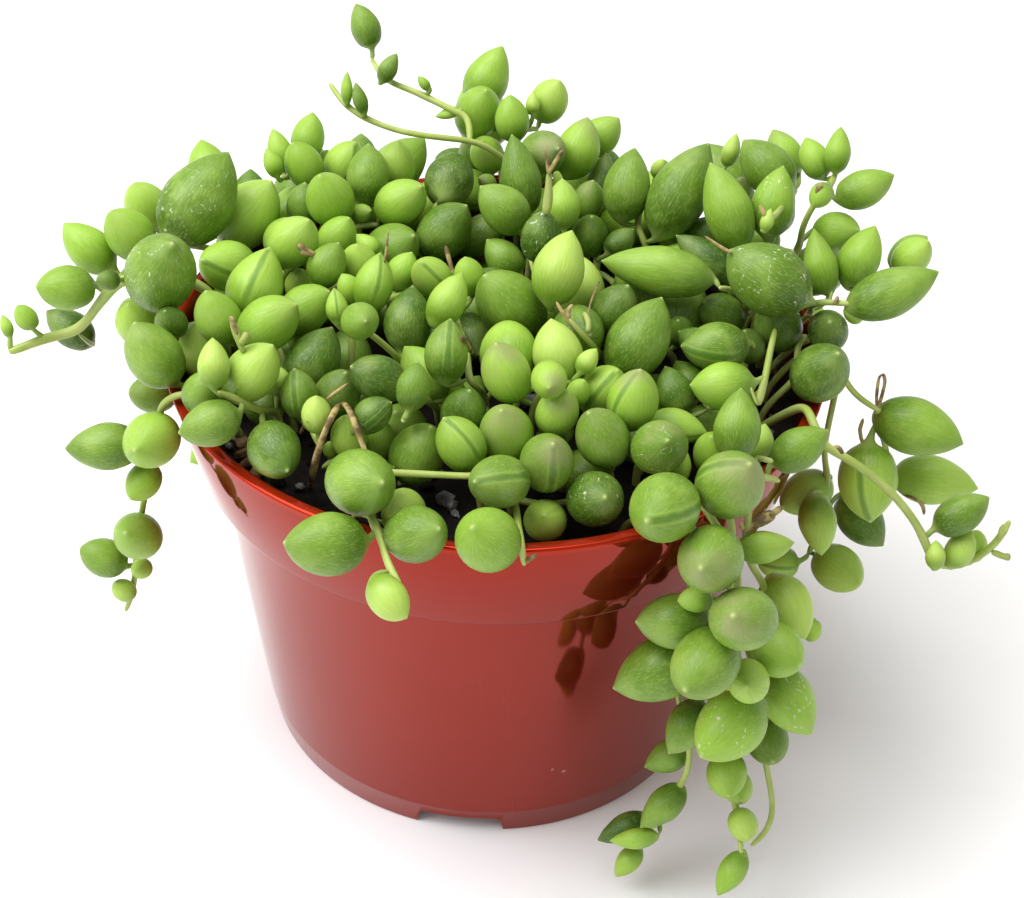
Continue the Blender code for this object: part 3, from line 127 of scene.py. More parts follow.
# One row a strand: name, the level its readings lie at, its stems and its leaves.
# Level ("z", 84) is a height above the table, ("y", -50) an upright plane in front of the pot.
# A stem is a list of points (x px, y px, mm off the level); "under" is one that runs from leaf
# base to leaf base. A leaf is (x px, y px, tip x px, tip y px, width px, mm off the level), with
# "away" added where its tip points away from the camera.
STRANDS = (
    ("left_spray", ("y", 1),
     [[(215, 290, -3), (180, 274, 3), (150, 268, 4), (125, 272, 3), (112, 285, 2), (100, 308, 1),
       (78, 320, 0), (56, 329, 0), (33, 346, 0), (10, 352, -1)]],
     [(162, 270, 172, 244, 70, -4), (65, 286, 35, 287, 43, 0), (70, 327, 45, 310, 38, 4),
      (108, 280, 96, 280, 20, -3), (25, 317, 17, 305, 22, 0), (6, 326, 2, 314, 12, 0)]),
    ("left_back", ("z", 84), ["under"],
     [(226, 265, 200, 262, 50, -3), (255, 214, 281, 183, 60, -1), (199, 197, 230, 152, 68, 2),
      (146, 205, 133, 183, 42, -2), (127, 234, 108, 212, 46, -2), (90, 245, 64, 222, 42, -3)]),
    ("left_rim", ("y", -7), ["under"],
     [(203, 390, 215, 372, 38, -14), (187, 350, 183, 322, 50, -1), (158, 368, 137, 338, 54, -8),
      (152, 321, 140, 305, 44, 5), (136, 315, 127, 300, 34, 10), (152, 392, 128, 392, 38, 1)]),
    ("left_hanging", ("y", -21),
     [[(205, 420, 0), (178, 424, 0), (160, 450, 2), (148, 482, 3), (141, 508, 2), (138, 545, 3),
       (134, 575, 3), (133, 600, 3), (126, 610, 3)]],
     [(161, 435, 145, 447, 54, -3), (103, 446, 64, 449, 47, 0), (142, 482, 130, 500, 33, 0),
      (137, 535, 125, 533, 46, -1), (103, 557, 79, 548, 37, 2), (141, 568, 134, 571, 20, 1),
      (124, 589, 115, 582, 22, 1)]),
    ("fork", ("z", 79),
     [[(283, 440, -9), (273, 421, -3), (265, 408, 0), (250, 400, 2), (232, 396, 3), (219, 392, 4)]],
     [(279, 451, 291, 473, 52, -2), (209, 423, 178, 434, 46, 1), (277, 380, 274, 383, 28, 0),
      (255, 371, 276, 346, 50, 4), (217, 364, 216, 338, 32, 5)]),
    ("left_inner", ("z", 82), ["under"],
     [(293, 275, 296, 261, 26, -4), (256, 283, 272, 246, 54, 0), (220, 315, 207, 290, 44, -1)]),
    ("left_middle", ("z", 82), ["under"],
     [(318, 357, 339, 325, 52, -4), (310, 305, 332, 288, 44, -3), (272, 325, 298, 305, 52, 0)]),
    ("back_left_tip", ("z", 86), ["under"],
     [(300, 203, 300, 180, 34, -6), (303, 167, 292, 145, 38, -1), (308, 137, 314, 112, 34, 1),
      (272, 163, 266, 148, 18, 1), (279, 150, 273, 128, 24, 2)]),
    ("back_left_row", ("z", 85), ["under"],
     [(326, 165, 327, 149, 25, -2), (331, 199, 321, 177, 47, 1), (343, 163, 355, 142, 40, 0),
      (367, 175, 369, 144, 42, 1), (394, 166, 398, 140, 40, 0)]),
    ("back_left_inner", ("z", 83), ["under"],
     [(295, 246, 311, 226, 46, 0), (338, 236, 349, 216, 38, -2), (364, 212, 373, 210, 18, -2),
      (403, 204, 424, 190, 46, 2)]),
    ("centre_left_back", ("z", 83), ["under"],
     [(328, 264, 341, 243, 36, 1), (358, 262, 355, 243, 38, -2), (370, 247, 357, 236, 20, -1),
      (391, 245, 414, 232, 52, 0), (442, 228, 463, 201, 50, 1), (446, 180, 455, 158, 46, 1, "away")]),
    ("centre_left", ("z", 84), ["under"],
     [(336, 307, 334, 288, 22, 1), (347, 287, 340, 272, 24, 0), (373, 283, 381, 253, 38, 1),
      (402, 270, 413, 252, 30, -2),
      (432, 275, 420, 262, 38, -2)]),
    ("pale_bud", ("z", 83), [[(412, 378, -6), (400, 357, 0), (384, 343, 3), (368, 334, 5)]],
     [(406, 318, 411, 284, 46, -1), (360, 320, 366, 322, 37, 7)]),
    ("upright_bud", ("z", 82),
     [[(486, 392, -5), (482, 385, 0), (470, 345, 2), (458, 332, 4), (455, 312, 5)]],
     [(447, 300, 462, 272, 36, 4), (470, 275, 465, 257, 30, 2), (448, 355, 450, 322, 42, 2)]),
    ("centre_long", ("z", 86), ["under"],
     [(505, 255, 488, 236, 34, -5), (510, 303, 482, 276, 66, 0)]),
    ("centre_round", ("z", 87), ["under"],
     [(487, 181, 479, 178, 16, -3), (503, 210, 479, 189, 44, 0), (541, 236, 546, 210, 40, 2)]),
    ("centre_tall", ("z", 89), ["under"],
     [(520, 176, 513, 134, 40, 0), (563, 204, 562, 178, 34, 0)]),
    ("centre_dark", ("z", 83), ["under"],
     [(590, 234, 592, 216, 36, 0), (620, 242, 634, 229, 26, 0), (588, 200, 592, 180, 32, 0),
      (601, 180, 606, 152, 30, 0)]),
    ("centre_bright", ("z", 88), ["under"],
     [(585, 285, 583, 254, 38, -3), (560, 268, 571, 230, 52, 1)]),
    ("centre_front_a", ("z", 84), ["under"],
     [(507, 350, 505, 322, 58, 0, "away"), (560, 352, 552, 318, 48, 2), (587, 366, 596, 353, 20, 1)]),
    ("centre_front_b", ("z", 83), ["under"],
     [(506, 383, 494, 356, 50, 1), (549, 379, 549, 389, 36, 4), (577, 390, 582, 378, 24, -1),
      (561, 412, 572, 392, 42, -1)]),
    ("lying_leaf", ("z", 86), [[(752, 300, -8), (745, 293, -3), (735, 289, -1), (720, 288, 0)]],
     [(708, 258, 677, 233, 36, -3), (655, 272, 598, 262, 50, 1)]),
    ("right_back_pair", ("z", 89), ["under"],
     [(683, 190, 709, 142, 56, 0), (629, 185, 635, 147, 46, 0), (660, 168, 664, 160, 18, 0)]),
    ("right_back_tall", ("z", 89), ["under"],
     [(724, 208, 709, 163, 46, 1), (743, 188, 740, 179, 22, -2), (731, 150, 737, 133, 18, 4)]),
    ("right_back_spread", ("z", 91), ["under"],
     [(775, 202, 783, 165, 42, 0), (785, 152, 772, 129, 34, 0), (767, 165, 742, 140, 48, 1),
      (767, 221, 771, 209, 13, 6)]),
    ("right_back_spray", ("z", 93),
     [[(792, 262, -12), (798, 240, -5), (804, 215, 0), (813, 203, 2), (826, 192, 2), (838, 172, 4)]],
     [(838, 230, 860, 231, 38, -5), (815, 158, 805, 137, 30, 1), (838, 150, 841, 126, 25, 4),
      (865, 187, 895, 175, 38, 1), (820, 195, 812, 207, 22, 4)]),
    ("right_spray", ("z", 86),
     [[(800, 330, -12), (808, 312, -4), (822, 302, 0), (850, 304, 0)],
      [(850, 304, 0), (868, 289, -2), (888, 275, -2)]],
     [(768, 275, 727, 250, 68, 3), (822, 262, 814, 228, 34, 0), (860, 256, 875, 225, 40, 1),
      (912, 255, 929, 241, 36, 0), (893, 290, 940, 272, 47, 2), (848, 316, 852, 326, 20, -4)]),
    ("right_dark", ("z", 80), [[(790, 400, -9), (796, 378, -2), (798, 352, 0), (803, 330, 0)]],
     [(780, 322, 770, 302, 46, -2), (826, 326, 828, 319, 40, 0), (820, 373, 838, 357, 56, 0)]),
    ("right_centre", ("z", 84), ["under"],
     [(680, 330, 678, 320, 28, -6), (613, 310, 630, 285, 48, -1), (637, 338, 662, 297, 60, 1)]),
    ("right_striped", ("z", 82), ["under"],
     [(748, 345, 745, 330, 30, -4), (722, 312, 705, 300, 40, -3), (714, 345, 680, 347, 50, 0)]),
    ("right_lower", ("z", 80),
     [[(745, 405, -8), (752, 388, -2)], [(762, 395, -2), (770, 350, 1), (775, 330, 2)],
      [(759, 398, -4), (765, 376, 1)]],
     [(674, 392, 665, 367, 36, -2), (722, 384, 689, 386, 46, 1)]),
    ("front_stripe", ("z", 80), ["under"],
     [(603, 388, 618, 368, 46, -1), (632, 398, 641, 369, 50, 2), (598, 437, 586, 412, 52, 0)]),
    ("front_round", ("z", 79), ["under"],
     [(509, 425, 502, 404, 54, 0), (548, 457, 554, 441, 54, -1)]),
    ("front_right", ("z", 79), ["under"],
     [(680, 430, 711, 436, 36, -2), (652, 445, 659, 441, 54, 0), (682, 466, 684, 446, 24, -3),
      (665, 506, 649, 522, 66, 1)]),
    ("front_right_rim", ("z", 80), ["under", [(752, 455, -2), (762, 464, -2), (772, 461, -2)]],
     [(762, 442, 765, 423, 24, -4), (736, 425, 741, 388, 46, 1), (715, 462, 712, 445, 42, -4),
      (729, 483, 748, 465, 64, 2), (800, 447, 829, 430, 41, -2)]),
    ("inner_front_left", ("z", 82), ["under"],
     [(448, 392, 455, 375, 34, -6), (425, 372, 405, 345, 44, 0), (378, 376, 350, 367, 46, 1),
      (413, 386, 418, 361, 32, 5)]),
    ("inner_left_bud", ("z", 80), ["under"],
     [(335, 392, 345, 372, 46, -3), (295, 392, 291, 366, 38, 0), (319, 415, 318, 397, 30, 2)]),
    ("inner_pair", ("z", 78), ["under"],
     [(349, 435, 345, 415, 36, -1), (375, 440, 378, 420, 44, -3), (375, 415, 393, 402, 34, 3),
      (330, 449, 330, 441, 14, -3)]),
    ("inner_ridged", ("z", 79), ["under"],
     [(465, 444, 449, 418, 46, 0), (462, 408, 468, 386, 44, -1), (417, 450, 432, 425, 54, -2)]),
    ("front_runner", ("z", 77),
     [[(336, 466, -8), (350, 470, -4), (388, 472, 0), (430, 474, 0), (478, 474, 0)]],
     [(362, 484, 383, 488, 64, 2), (501, 481, 476, 482, 52, 0)]),
    ("front_rim_spray", ("z", 78),
     [[(352, 506, -9), (362, 512, -2), (373, 520, 0), (386, 547, 0), (394, 568, -2), (400, 585, -4)]],
     [(405, 512, 402, 492, 46, -4), (326, 539, 284, 541, 62, -1), (419, 533, 442, 530, 56, 0),
      (390, 598, 407, 619, 40, -4)]),
    ("front_rim_pair", ("z", 77),
     [[(512, 492, -8), (514, 502, -2), (519, 518, 0), (526, 545, -2), (524, 563, -4)],
      [(520, 500, -7), (545, 505, -6), (575, 500, -5)]],
     [(486, 537, 470, 528, 62, 1), (545, 519, 544, 516, 42, -6), (596, 492, 606, 493, 54, -3)]),
    ("hanging_main", ("y", -50),
     [[(690, 486, 8), (700, 508, 2), (715, 523, -1), (735, 552, 2), (743, 578, 2), (741, 600, 1),
       (738, 640, 1), (728, 690, 1)]],
     [(710, 558, 701, 570, 64, -4), (695, 600, 677, 601, 26, 0), (741, 618, 731, 618, 64, -5),
      (675, 620, 636, 621, 54, 2), (705, 660, 683, 686, 64, -5), (655, 668, 613, 689, 60, 0),
      (749, 680, 747, 687, 42, -4)]),
    ("hanging_right", ("y", -42),
     [[(735, 500, 5), (748, 535, 0), (748, 566, 0), (760, 578, 0), (772, 600, 0), (775, 650, 1),
       (768, 700, 1), (763, 745, 0), (765, 763, 0), (770, 785, 0), (776, 808, -1), (774, 826, -2),
       (767, 839, -3), (752, 845, -4)]],
     [(765, 546, 795, 543, 32, 0), (787, 608, 806, 640, 52, -1), (811, 630, 811, 642, 20, 4),
      (777, 648, 800, 666, 52, -6), (790, 700, 811, 736, 54, -2), (767, 740, 773, 763, 42, -2)]),
    ("hanging_low", ("y", -50),
     [[(725, 690, 4), (715, 735, 3), (712, 760, 2), (722, 785, 0), (738, 806, 0), (742, 838, -3),
       (741, 852, -5)]],
     [(685, 725, 669, 753, 38, 2), (728, 726, 697, 755, 64, -2), (668, 757, 645, 769, 32, 3),
      (728, 775, 728, 797, 40, 1), (737, 790, 742, 804, 30, 3), (743, 822, 748, 836, 29, -2),
      (731, 874, 717, 896, 26, -7)]),
    ("hanging_left_tip", ("y", -50),
     [[(655, 545, 4), (662, 600, 5), (668, 680, 5), (688, 735, 4), (695, 762, 3), (688, 775, 2),
       (680, 787, 1), (650, 828, 0), (637, 845, 0)]],
     [(662, 807, 640, 828, 32, 0), (622, 828, 597, 841, 28, 1), (634, 838, 609, 841, 20, -3),
      (628, 862, 615, 877, 23, 0)]),
    ("right_pale_stem", ("y", -30),
     [[(800, 470, 12), (825, 450, 2), (838, 451, 0), (860, 466, 0), (880, 481, 0), (900, 500, 0),
       (915, 520, 0), (921, 533, 0), (928, 550, 1), (935, 570, 2), (960, 567, 2), (980, 558, 2),
       (995, 550, 2), (1003, 538, 2), (1009, 522, 2)]],
     [(962, 513, 990, 497, 38, 3), (935, 555, 936, 540, 20, -1), (975, 545, 978, 530, 26, 5),
      (961, 549, 972, 531, 30, 1)]),
    ("right_big", ("y", -12), [[(800, 386, 10), (845, 390, 4), (862, 402, 0), (878, 410, 0)],
      [(878, 410, 2), (884, 440, 6), (890, 468, 6)]],
     [(918, 430, 964, 444, 58, 0), (935, 482, 979, 488, 48, 5), (870, 482, 870, 523, 56, -4)]),
    ("right_under", ("y", -8), [[(815, 462, 6), (835, 482, 2), (832, 500, 0), (805, 545, 0)]],
     [(805, 493, 780, 508, 44, 2), (817, 525, 822, 556, 38, -3), (778, 562, 757, 563, 32, -1),
      (838, 570, 860, 586, 44, 0),
      (863, 520, 883, 547, 42, 8)]),
    ("top_spray", ("z", 97),
     [[(520, 170, -14), (480, 140, -6), (440, 138, -4), (400, 133, -3), (365, 120, -2),
       (345, 108, -1), (330, 84, 0)],
      [(470, 118, -6), (445, 108, -4), (420, 92, -2), (400, 87, 0), (385, 78, 1), (372, 60, 2)]],
     [(360, 98, 355, 82, 15, 0), (347, 88, 347, 71, 12, 1), (448, 113, 435, 117, 11, -5),
      (424, 83, 418, 76, 10, 0), (389, 68, 397, 53, 18, 2), (364, 26, 356, 3, 29, 3)]),
    ("top_cluster", ("z", 92), ["under"],
     [(487, 155, 481, 143, 34, -7), (512, 118, 509, 94, 34, -1), (478, 110, 487, 90, 46, -1),
      (488, 78, 503, 45, 42, 2), (533, 104, 533, 92, 14, 1), (550, 100, 560, 80, 36, 0)]),
    ("top_cluster_right", ("z", 89), ["under"],
     [(545, 152, 560, 150, 42, -1), (577, 148, 588, 117, 42, 0), (600, 135, 620, 118, 36, 0)]),
    ("dried_twig", ("z", 83),
     [[(310, 484, -11), (313, 465, -5), (318, 450, -2), (330, 420, 1), (342, 404, 4),
       (357, 430, 1), (365, 448, -1)]],
     []),
)

# Strands that the photograph doesn't show, which hang over the back of the rim:
# name, azimuth in degrees, height of the lowest leaf, leaves
BACK_STRANDS = (
    ("behind_right", 33, 30, 4),
    ("behind_right_middle", 62, 44, 3),
    ("behind_middle", 90, 20, 5),
    ("behind_left_middle", 121, 38, 3),
    ("behind_left", 148, 32, 4),
)
BACK_CREEP = ((30, 66), (33, 73), (40, 75), (47, 76.5), (53, 76.5), (57.5, 73), (59, 67))
BACK_CREEP_LEAVES = (34, 40, 46)
BACK_SEED = 11

LIP_MIDDLE = RIM_RADIUS - LIP_WIDTH / 2
STEM_LIFT = 1.6
WALL_REACH = (46.5, 54.4)
# How far behind and below the bases of its leaves a hidden stem runs
UNDER_REACH, UNDER_DROP = 1.2, 0.8
# A leaf prefers a node further along to one at the root by this much
ROOT_SHYNESS = 20
BACK_PLUMPNESS = (1.45, 0.2)
OVER_RIM = ((47.0, 1.0), (50.0, 2.0), (53.0, 2.0), (55.2, -0.6))


class Leaf:
    """A leaf: centre c, unit axis from base to tip, half length h, half width a. In mm."""


class Stem:
    """A stem: its nodes p, whether it stands in the soil, and whether the photograph shows it."""


def unit(v):
    return v / np.sqrt((v * v).sum(-1, keepdims=True))


def length(v):
    return np.sqrt((v * v).sum(-1))


def drawn_from(span, rng):
    """A random value from a span, given as its least value and its width."""
    return span[0] + span[1] * rng.random()


def photo_camera():
    """The camera's right, up and back directions, and where it stands."""
    back = np.array([0.0, -math.cos(ELEVATION), math.sin(ELEVATION)])
    right = np.array([1.0, 0.0, 0.0])
    up = np.cross(back, right)
    c, s = math.cos(ROLL), math.sin(ROLL)
    rows = np.stack([c * right + s * up, -s * right + c * up, back])
    ahead = np.array([0.0, 0.0, -1.0])
    aim = unit(np.array([(AIM_PX[0] - PHOTO_CENTRE[0]) / FOCAL_PX,
                         (PHOTO_CENTRE[1] - AIM_PX[1]) / FOCAL_PX, -1.0]))
    axis = np.cross(ahead, aim)
    sine = length(axis)
    cosine = (ahead * aim).sum()
    k = axis / sine
    skew = np.array([[0, -k[2], k[1]], [k[2], 0, -k[0]], [-k[1], k[0], 0]])
    turn = np.eye(3) + sine * skew + (1 - cosine) * (skew @ skew)
    return turn @ rows, back * DISTANCE + np.array([0, 0, POT_HEIGHT])


CAMERA_AXES, EYE = photo_camera()


def place(level, x, y, off):
    """Where the line of sight through a pixel meets a level."""
    kind, value = level
    sight = ((x - PHOTO_CENTRE[0]) / FOCAL_PX * CAMERA_AXES[0]
             - (y - PHOTO_CENTRE[1]) / FOCAL_PX * CAMERA_AXES[1] - CAMERA_AXES[2])
    i = 2 if kind == "z" else 1
    return EYE + sight * ((value + off - EYE[i]) / sight[i])


def read_leaf(level, row):
    x, y, tip_x, tip_y, width, off = row[:6]
    leaf = Leaf()
    leaf.c = place(level, x, y, off)
    depth = -((leaf.c - EYE) * CAMERA_AXES[2]).sum()
    scale = depth / FOCAL_PX
    leaf.a = 0.5 * width * scale
    view = unit(EYE - leaf.c)
    across = ((tip_x - x) * CAMERA_AXES[0] - (tip_y - y) * CAMERA_AXES[1]) * scale
    across = across - view * (across * view).sum()
    seen = length(across)
    leaf.h = max(seen, PLUMPNESS * leaf.a)
    toward = math.sqrt(max(0.0, leaf.h ** 2 - seen ** 2))
    leaf.axis = unit(across + view * (-toward if "away" in row else toward))
    return leaf


def under_path(leaves):
    """A stem that runs just below the bases of its leaves."""
    ends = [leaf.c - leaf.axis * (leaf.h + UNDER_REACH) - np.array([0, 0, UNDER_DROP]) for leaf in leaves]
    path = [ends[0]]
    for before, here, after in zip(ends, ends[1:], ends[2:]):
        path.append(0.25 * before + 0.5 * here + 0.25 * after)
    if len(ends) > 1:
        path.append(ends[-1])
    return path


def resample(points, pitch):
    points = np.array(points, float)
    along = np.concatenate([[0], np.cumsum(length(points[1:] - points[:-1]))])
    count = max(2, int(round(along[-1] / pitch)) + 1)
    at = np.linspace(0, along[-1], count)
    return np.stack([np.interp(at, along, points[:, k]) for k in range(3)], 1)


def back_strand(azimuth, lowest, count, rng):
    """A strand that creeps over the soil, crosses the rim and hangs, with leaves all along it."""
    out = np.array([math.cos(azimuth), math.sin(azimuth), 0.0])
    side = np.array([-out[1], out[0], 0.0])
    up = np.array([0.0, 0.0, 1.0])
    path = [out * r + up * z for r, z in BACK_CREEP]
    leaves = []
    for k, r in enumerate(BACK_CREEP_LEAVES):
        hand = 1 if k % 2 else -1
        leaf = Leaf()
        leaf.axis = unit(side * hand + out * (0.7 * rng.random() - 0.5) + up * (0.35 + 0.5 * rng.random()))
        leaf.a = 3.5 + 0.8 * rng.random()
        leaf.h = leaf.a * drawn_from(BACK_PLUMPNESS, rng)
        leaf.c = out * r + up * 76 + leaf.axis * (leaf.h + 1.0)
        leaves.append(leaf)
    for k, z in enumerate(np.linspace(62, lowest, count)):
        sway = side * 2.0 * math.sin(0.9 * k + azimuth)
        path.append(out * (58.5 - 0.06 * (66 - z)) + up * z + sway)
        leaf = Leaf()
        turn = (1 if k % 2 else -1) * (0.75 + 0.25 * rng.random())
        leaf.axis = unit(out * 0.45 + side * turn - up * (0.35 + 0.4 * rng.random()))
        leaf.a = 4.2 + 0.6 * rng.random() - 0.3 * k
        leaf.h = leaf.a * drawn_from(BACK_PLUMPNESS, rng)
        leaf.c = path[-1] + leaf.axis * (leaf.h + 1.0)
        leaves.append(leaf)
    return path, leaves


def read_strands():
    """Every leaf and every stem, before they settle."""
    leaves, stems = [], []
    rows = [(name, [("under" if line == "under" else [place(level, *p) for p in line])
                    for line in lines], [read_leaf(level, row) for row in seen])
            for name, level, lines, seen in STRANDS]
    rng = np.random.default_rng(BACK_SEED)
    for name, azimuth, lowest, count in BACK_STRANDS:
        path, made = back_strand(math.radians(azimuth), lowest, count, rng)
        rows.append((name, [path], made))
    for strand, (name, lines, made) in enumerate(rows):
        for leaf in made:
            leaf.strand = strand
        leaves += made
        for k, line in enumerate(lines):
            stem = Stem()
            stem.strand = strand
            stem.rooted = k == 0
            stem.seen = line != "under"
            stem.line = line if stem.seen else under_path(made)
            stems.append(stem)
    set_roots([stem for stem in stems if stem.rooted])
    for stem in stems:
        stem.p = resample(stem.line, NODE_PITCH)
        if stem.rooted:
            for k, rise in enumerate(ROOT_RISES):
                stem.p[k] = stem.root + np.array([0, 0, rise])
        stem.p0 = stem.p.copy()
    for leaf in leaves:
        leaf.stem, leaf.node = nearest_node(leaf, stems)
    return [name for name, _, _ in rows], leaves, stems


def set_roots(stems):
    """Gives each strand its own place in the soil, near where it rises, and starts it there."""
    at = np.array([stem.line[0][:2] for stem in stems])
    for _ in range(ROOT_ROUNDS):
        between = at[:, None] - at[None]
        apart = length(between) + np.eye(len(at)) * 99
        short = np.maximum(0, ROOT_SPACING - apart)
        at = at + 0.25 * (between / apart[..., None] * short[..., None]).sum(1)
        reach = length(at)
        at = np.where((reach > ROOT_REACH)[:, None], at * (ROOT_REACH / reach)[:, None], at)
    for stem, (x, y) in zip(stems, at):
        stem.root = np.array([x, y, SOIL_TOP])
        start = np.array(stem.line[0])
        line = [stem.root - np.array([0, 0, ROOT_DEPTH]), stem.root + np.array([0, 0, 1.5])]
        if length(start - stem.root) > 6 and math.hypot(start[0], start[1]) < WALL_REACH[0]:
            middle = 0.5 * (stem.root + start)
            middle[2] = max(SOIL_TOP + 2.5, 0.6 * start[2] + 0.4 * SOIL_TOP)
            line.append(middle)
        stem.line = over_rim(line + list(stem.line))


def over_rim(line):
    """Leads a stem's course over the rim, and keeps it off the wall on both sides of it."""
    led = [line[0]]
    outside = False
    for there in line[1:]:
        here = led[-1]
        r0, r1 = math.hypot(here[0], here[1]), math.hypot(there[0], there[1])
        out = np.array([there[0] / r1, there[1] / r1, 0.0])
        low = there[2] < POT_HEIGHT + STEM_LIFT
        if low and WALL_REACH[0] < r1 < WALL_REACH[1]:
            if outside or r1 > LIP_MIDDLE:
                there = out * WALL_REACH[1] + np.array([0, 0, there[2]])
                r1 = WALL_REACH[1]
            else:
                there = out * r1 + np.array([0, 0, POT_HEIGHT + STEM_LIFT])
        if not outside and r0 < LIP_MIDDLE <= r1:
            share = (LIP_MIDDLE - r0) / (r1 - r0)
            if here[2] + share * (there[2] - here[2]) < POT_HEIGHT + STEM_LIFT:
                for r, z in OVER_RIM:
                    if r > r0 and not (r > r1 and z < there[2] - POT_HEIGHT):
                        led.append(out * r + np.array([0, 0, POT_HEIGHT + z]))
            outside = True
        led.append(there)
    return led


def nearest_node(leaf, stems):
    base = leaf.c - leaf.axis * leaf.h
    best = None
    for i, stem in enumerate(stems):
        if stem.strand != leaf.strand:
            continue
        far = length(stem.p - base)
        if stem.rooted:
            far[:len(ROOT_RISES)] += ROOT_SHYNESS
        k = int(far.argmin())
        if best is None or far[k] < best[0]:
            best = (far[k], i, k)
    return best[1:]


# The pot and its soil as a section (radius, height), from the axis up over the rim to the foot
POT_SECTION = (
    (0, SOIL_TOP + SOIL_CROWN), (SOIL_EDGE, SOIL_TOP), (RIM_RADIUS - LIP_WIDTH, POT_HEIGHT),
    (RIM_RADIUS, POT_HEIGHT), (COLLAR_FOOT_RADIUS, POT_HEIGHT - COLLAR_DROP),
    (STEP_RADIUS, POT_HEIGHT - COLLAR_DROP), (FOOT_RADIUS, 0.0))


# How the strands settle: in this many rounds, with near pairs looked up afresh every few. In all
# but the last rounds a leaf is drawn back to its line of sight. Distances are millimetres.
SETTLE_ROUNDS, FREE_ROUNDS, LOOKUP_ROUNDS = 130, 25, 8
BALL_PLACES = (-0.92, -0.55, 0.0, 0.55, 0.92)
BALL_SWELL = 1.05
STEM_SLACK = 0.35
OWN_CLEARANCE = 0.1
LOOKUP_BLOCK, LOOKUP_REACH = 400, 2.0
LEAF_GIVE = 0.45
POT_GAP_STEM, POT_GAP_LEAF, TABLE_GAP = 0.8, 0.35, 0.3
SLIP_ALONG, SLIP_ACROSS = 1.25, 0.5
LARGEST_STEP = 0.9
DRAW_BACK = 0.06
BASE_GAP, BASE_SLACK = 0.6, 1.6
COURSE_PULL = 0.15


def push_from_pot(points, radii):
    """How far each ball has to move to clear the pot and the soil."""
    q = np.sqrt(points[:, 0] ** 2 + points[:, 1] ** 2) + 1e-9
    z = points[:, 2]
    best = np.full(len(points), 1e9)
    nx = np.zeros(len(points))
    nz = np.zeros(len(points))
    for (x0, z0), (x1, z1) in zip(POT_SECTION, POT_SECTION[1:]):
        dx, dz = x1 - x0, z1 - z0
        t = np.clip(((q - x0) * dx + (z - z0) * dz) / (dx * dx + dz * dz), 0, 1)
        ux, uz = q - (x0 + t * dx), z - (z0 + t * dz)
        d = np.sqrt(ux * ux + uz * uz)
        nearer = d < best
        best = np.where(nearer, d, best)
        nx = np.where(nearer, ux, nx)
        nz = np.where(nearer, uz, nz)
    step_z = POT_HEIGHT - COLLAR_DROP
    collar = COLLAR_FOOT_RADIUS + (z - step_z) * (RIM_RADIUS - COLLAR_FOOT_RADIUS) / COLLAR_DROP
    wall = FOOT_RADIUS + z * (STEP_RADIUS - FOOT_RADIUS) / step_z
    within = (z < POT_HEIGHT) & (q < np.where(z > step_z, collar, wall))
    within &= ~((z > SOIL_TOP) & (q < SOIL_EDGE))
    sign = np.where(within, -1.0, 1.0) / (np.sqrt(nx * nx + nz * nz) + 1e-9)
    amount = np.maximum(0, radii - np.where(within, -best, best))
    across = nx * sign * amount / q
    return np.stack([points[:, 0] * across, points[:, 1] * across, nz * sign * amount], 1), amount


def leaf_balls(leaf):
    """Balls along a leaf's axis that fill it: (distance from the centre, radius)."""
    slack = max(leaf.h ** 2 - leaf.a ** 2, 1e-6)
    balls = []
    for share in BALL_PLACES:
        t = share * slack / leaf.h
        balls.append((t, leaf.a * math.sqrt(max(0.05, 1 - t * t / slack))))
    return balls


def near_pairs(balls, radii, body, strand, is_stem):
    """Pairs of balls of different bodies that are close, but for a strand's own stem."""
    first, second = [], []
    for start in range(0, len(balls), LOOKUP_BLOCK):
        block = slice(start, start + LOOKUP_BLOCK)
        apart = length(balls[block, None] - balls[None])
        i, j = np.nonzero(apart < radii[block, None] + radii[None] + CLEARANCE + LOOKUP_REACH)
        i = i + start
        keep = (i < j) & (body[i] != body[j])
        keep &= ~((strand[i] == strand[j]) & (is_stem[body[i]] | is_stem[body[j]]))
        first.append(i[keep])
        second.append(j[keep])
    return np.concatenate(first), np.concatenate(second)


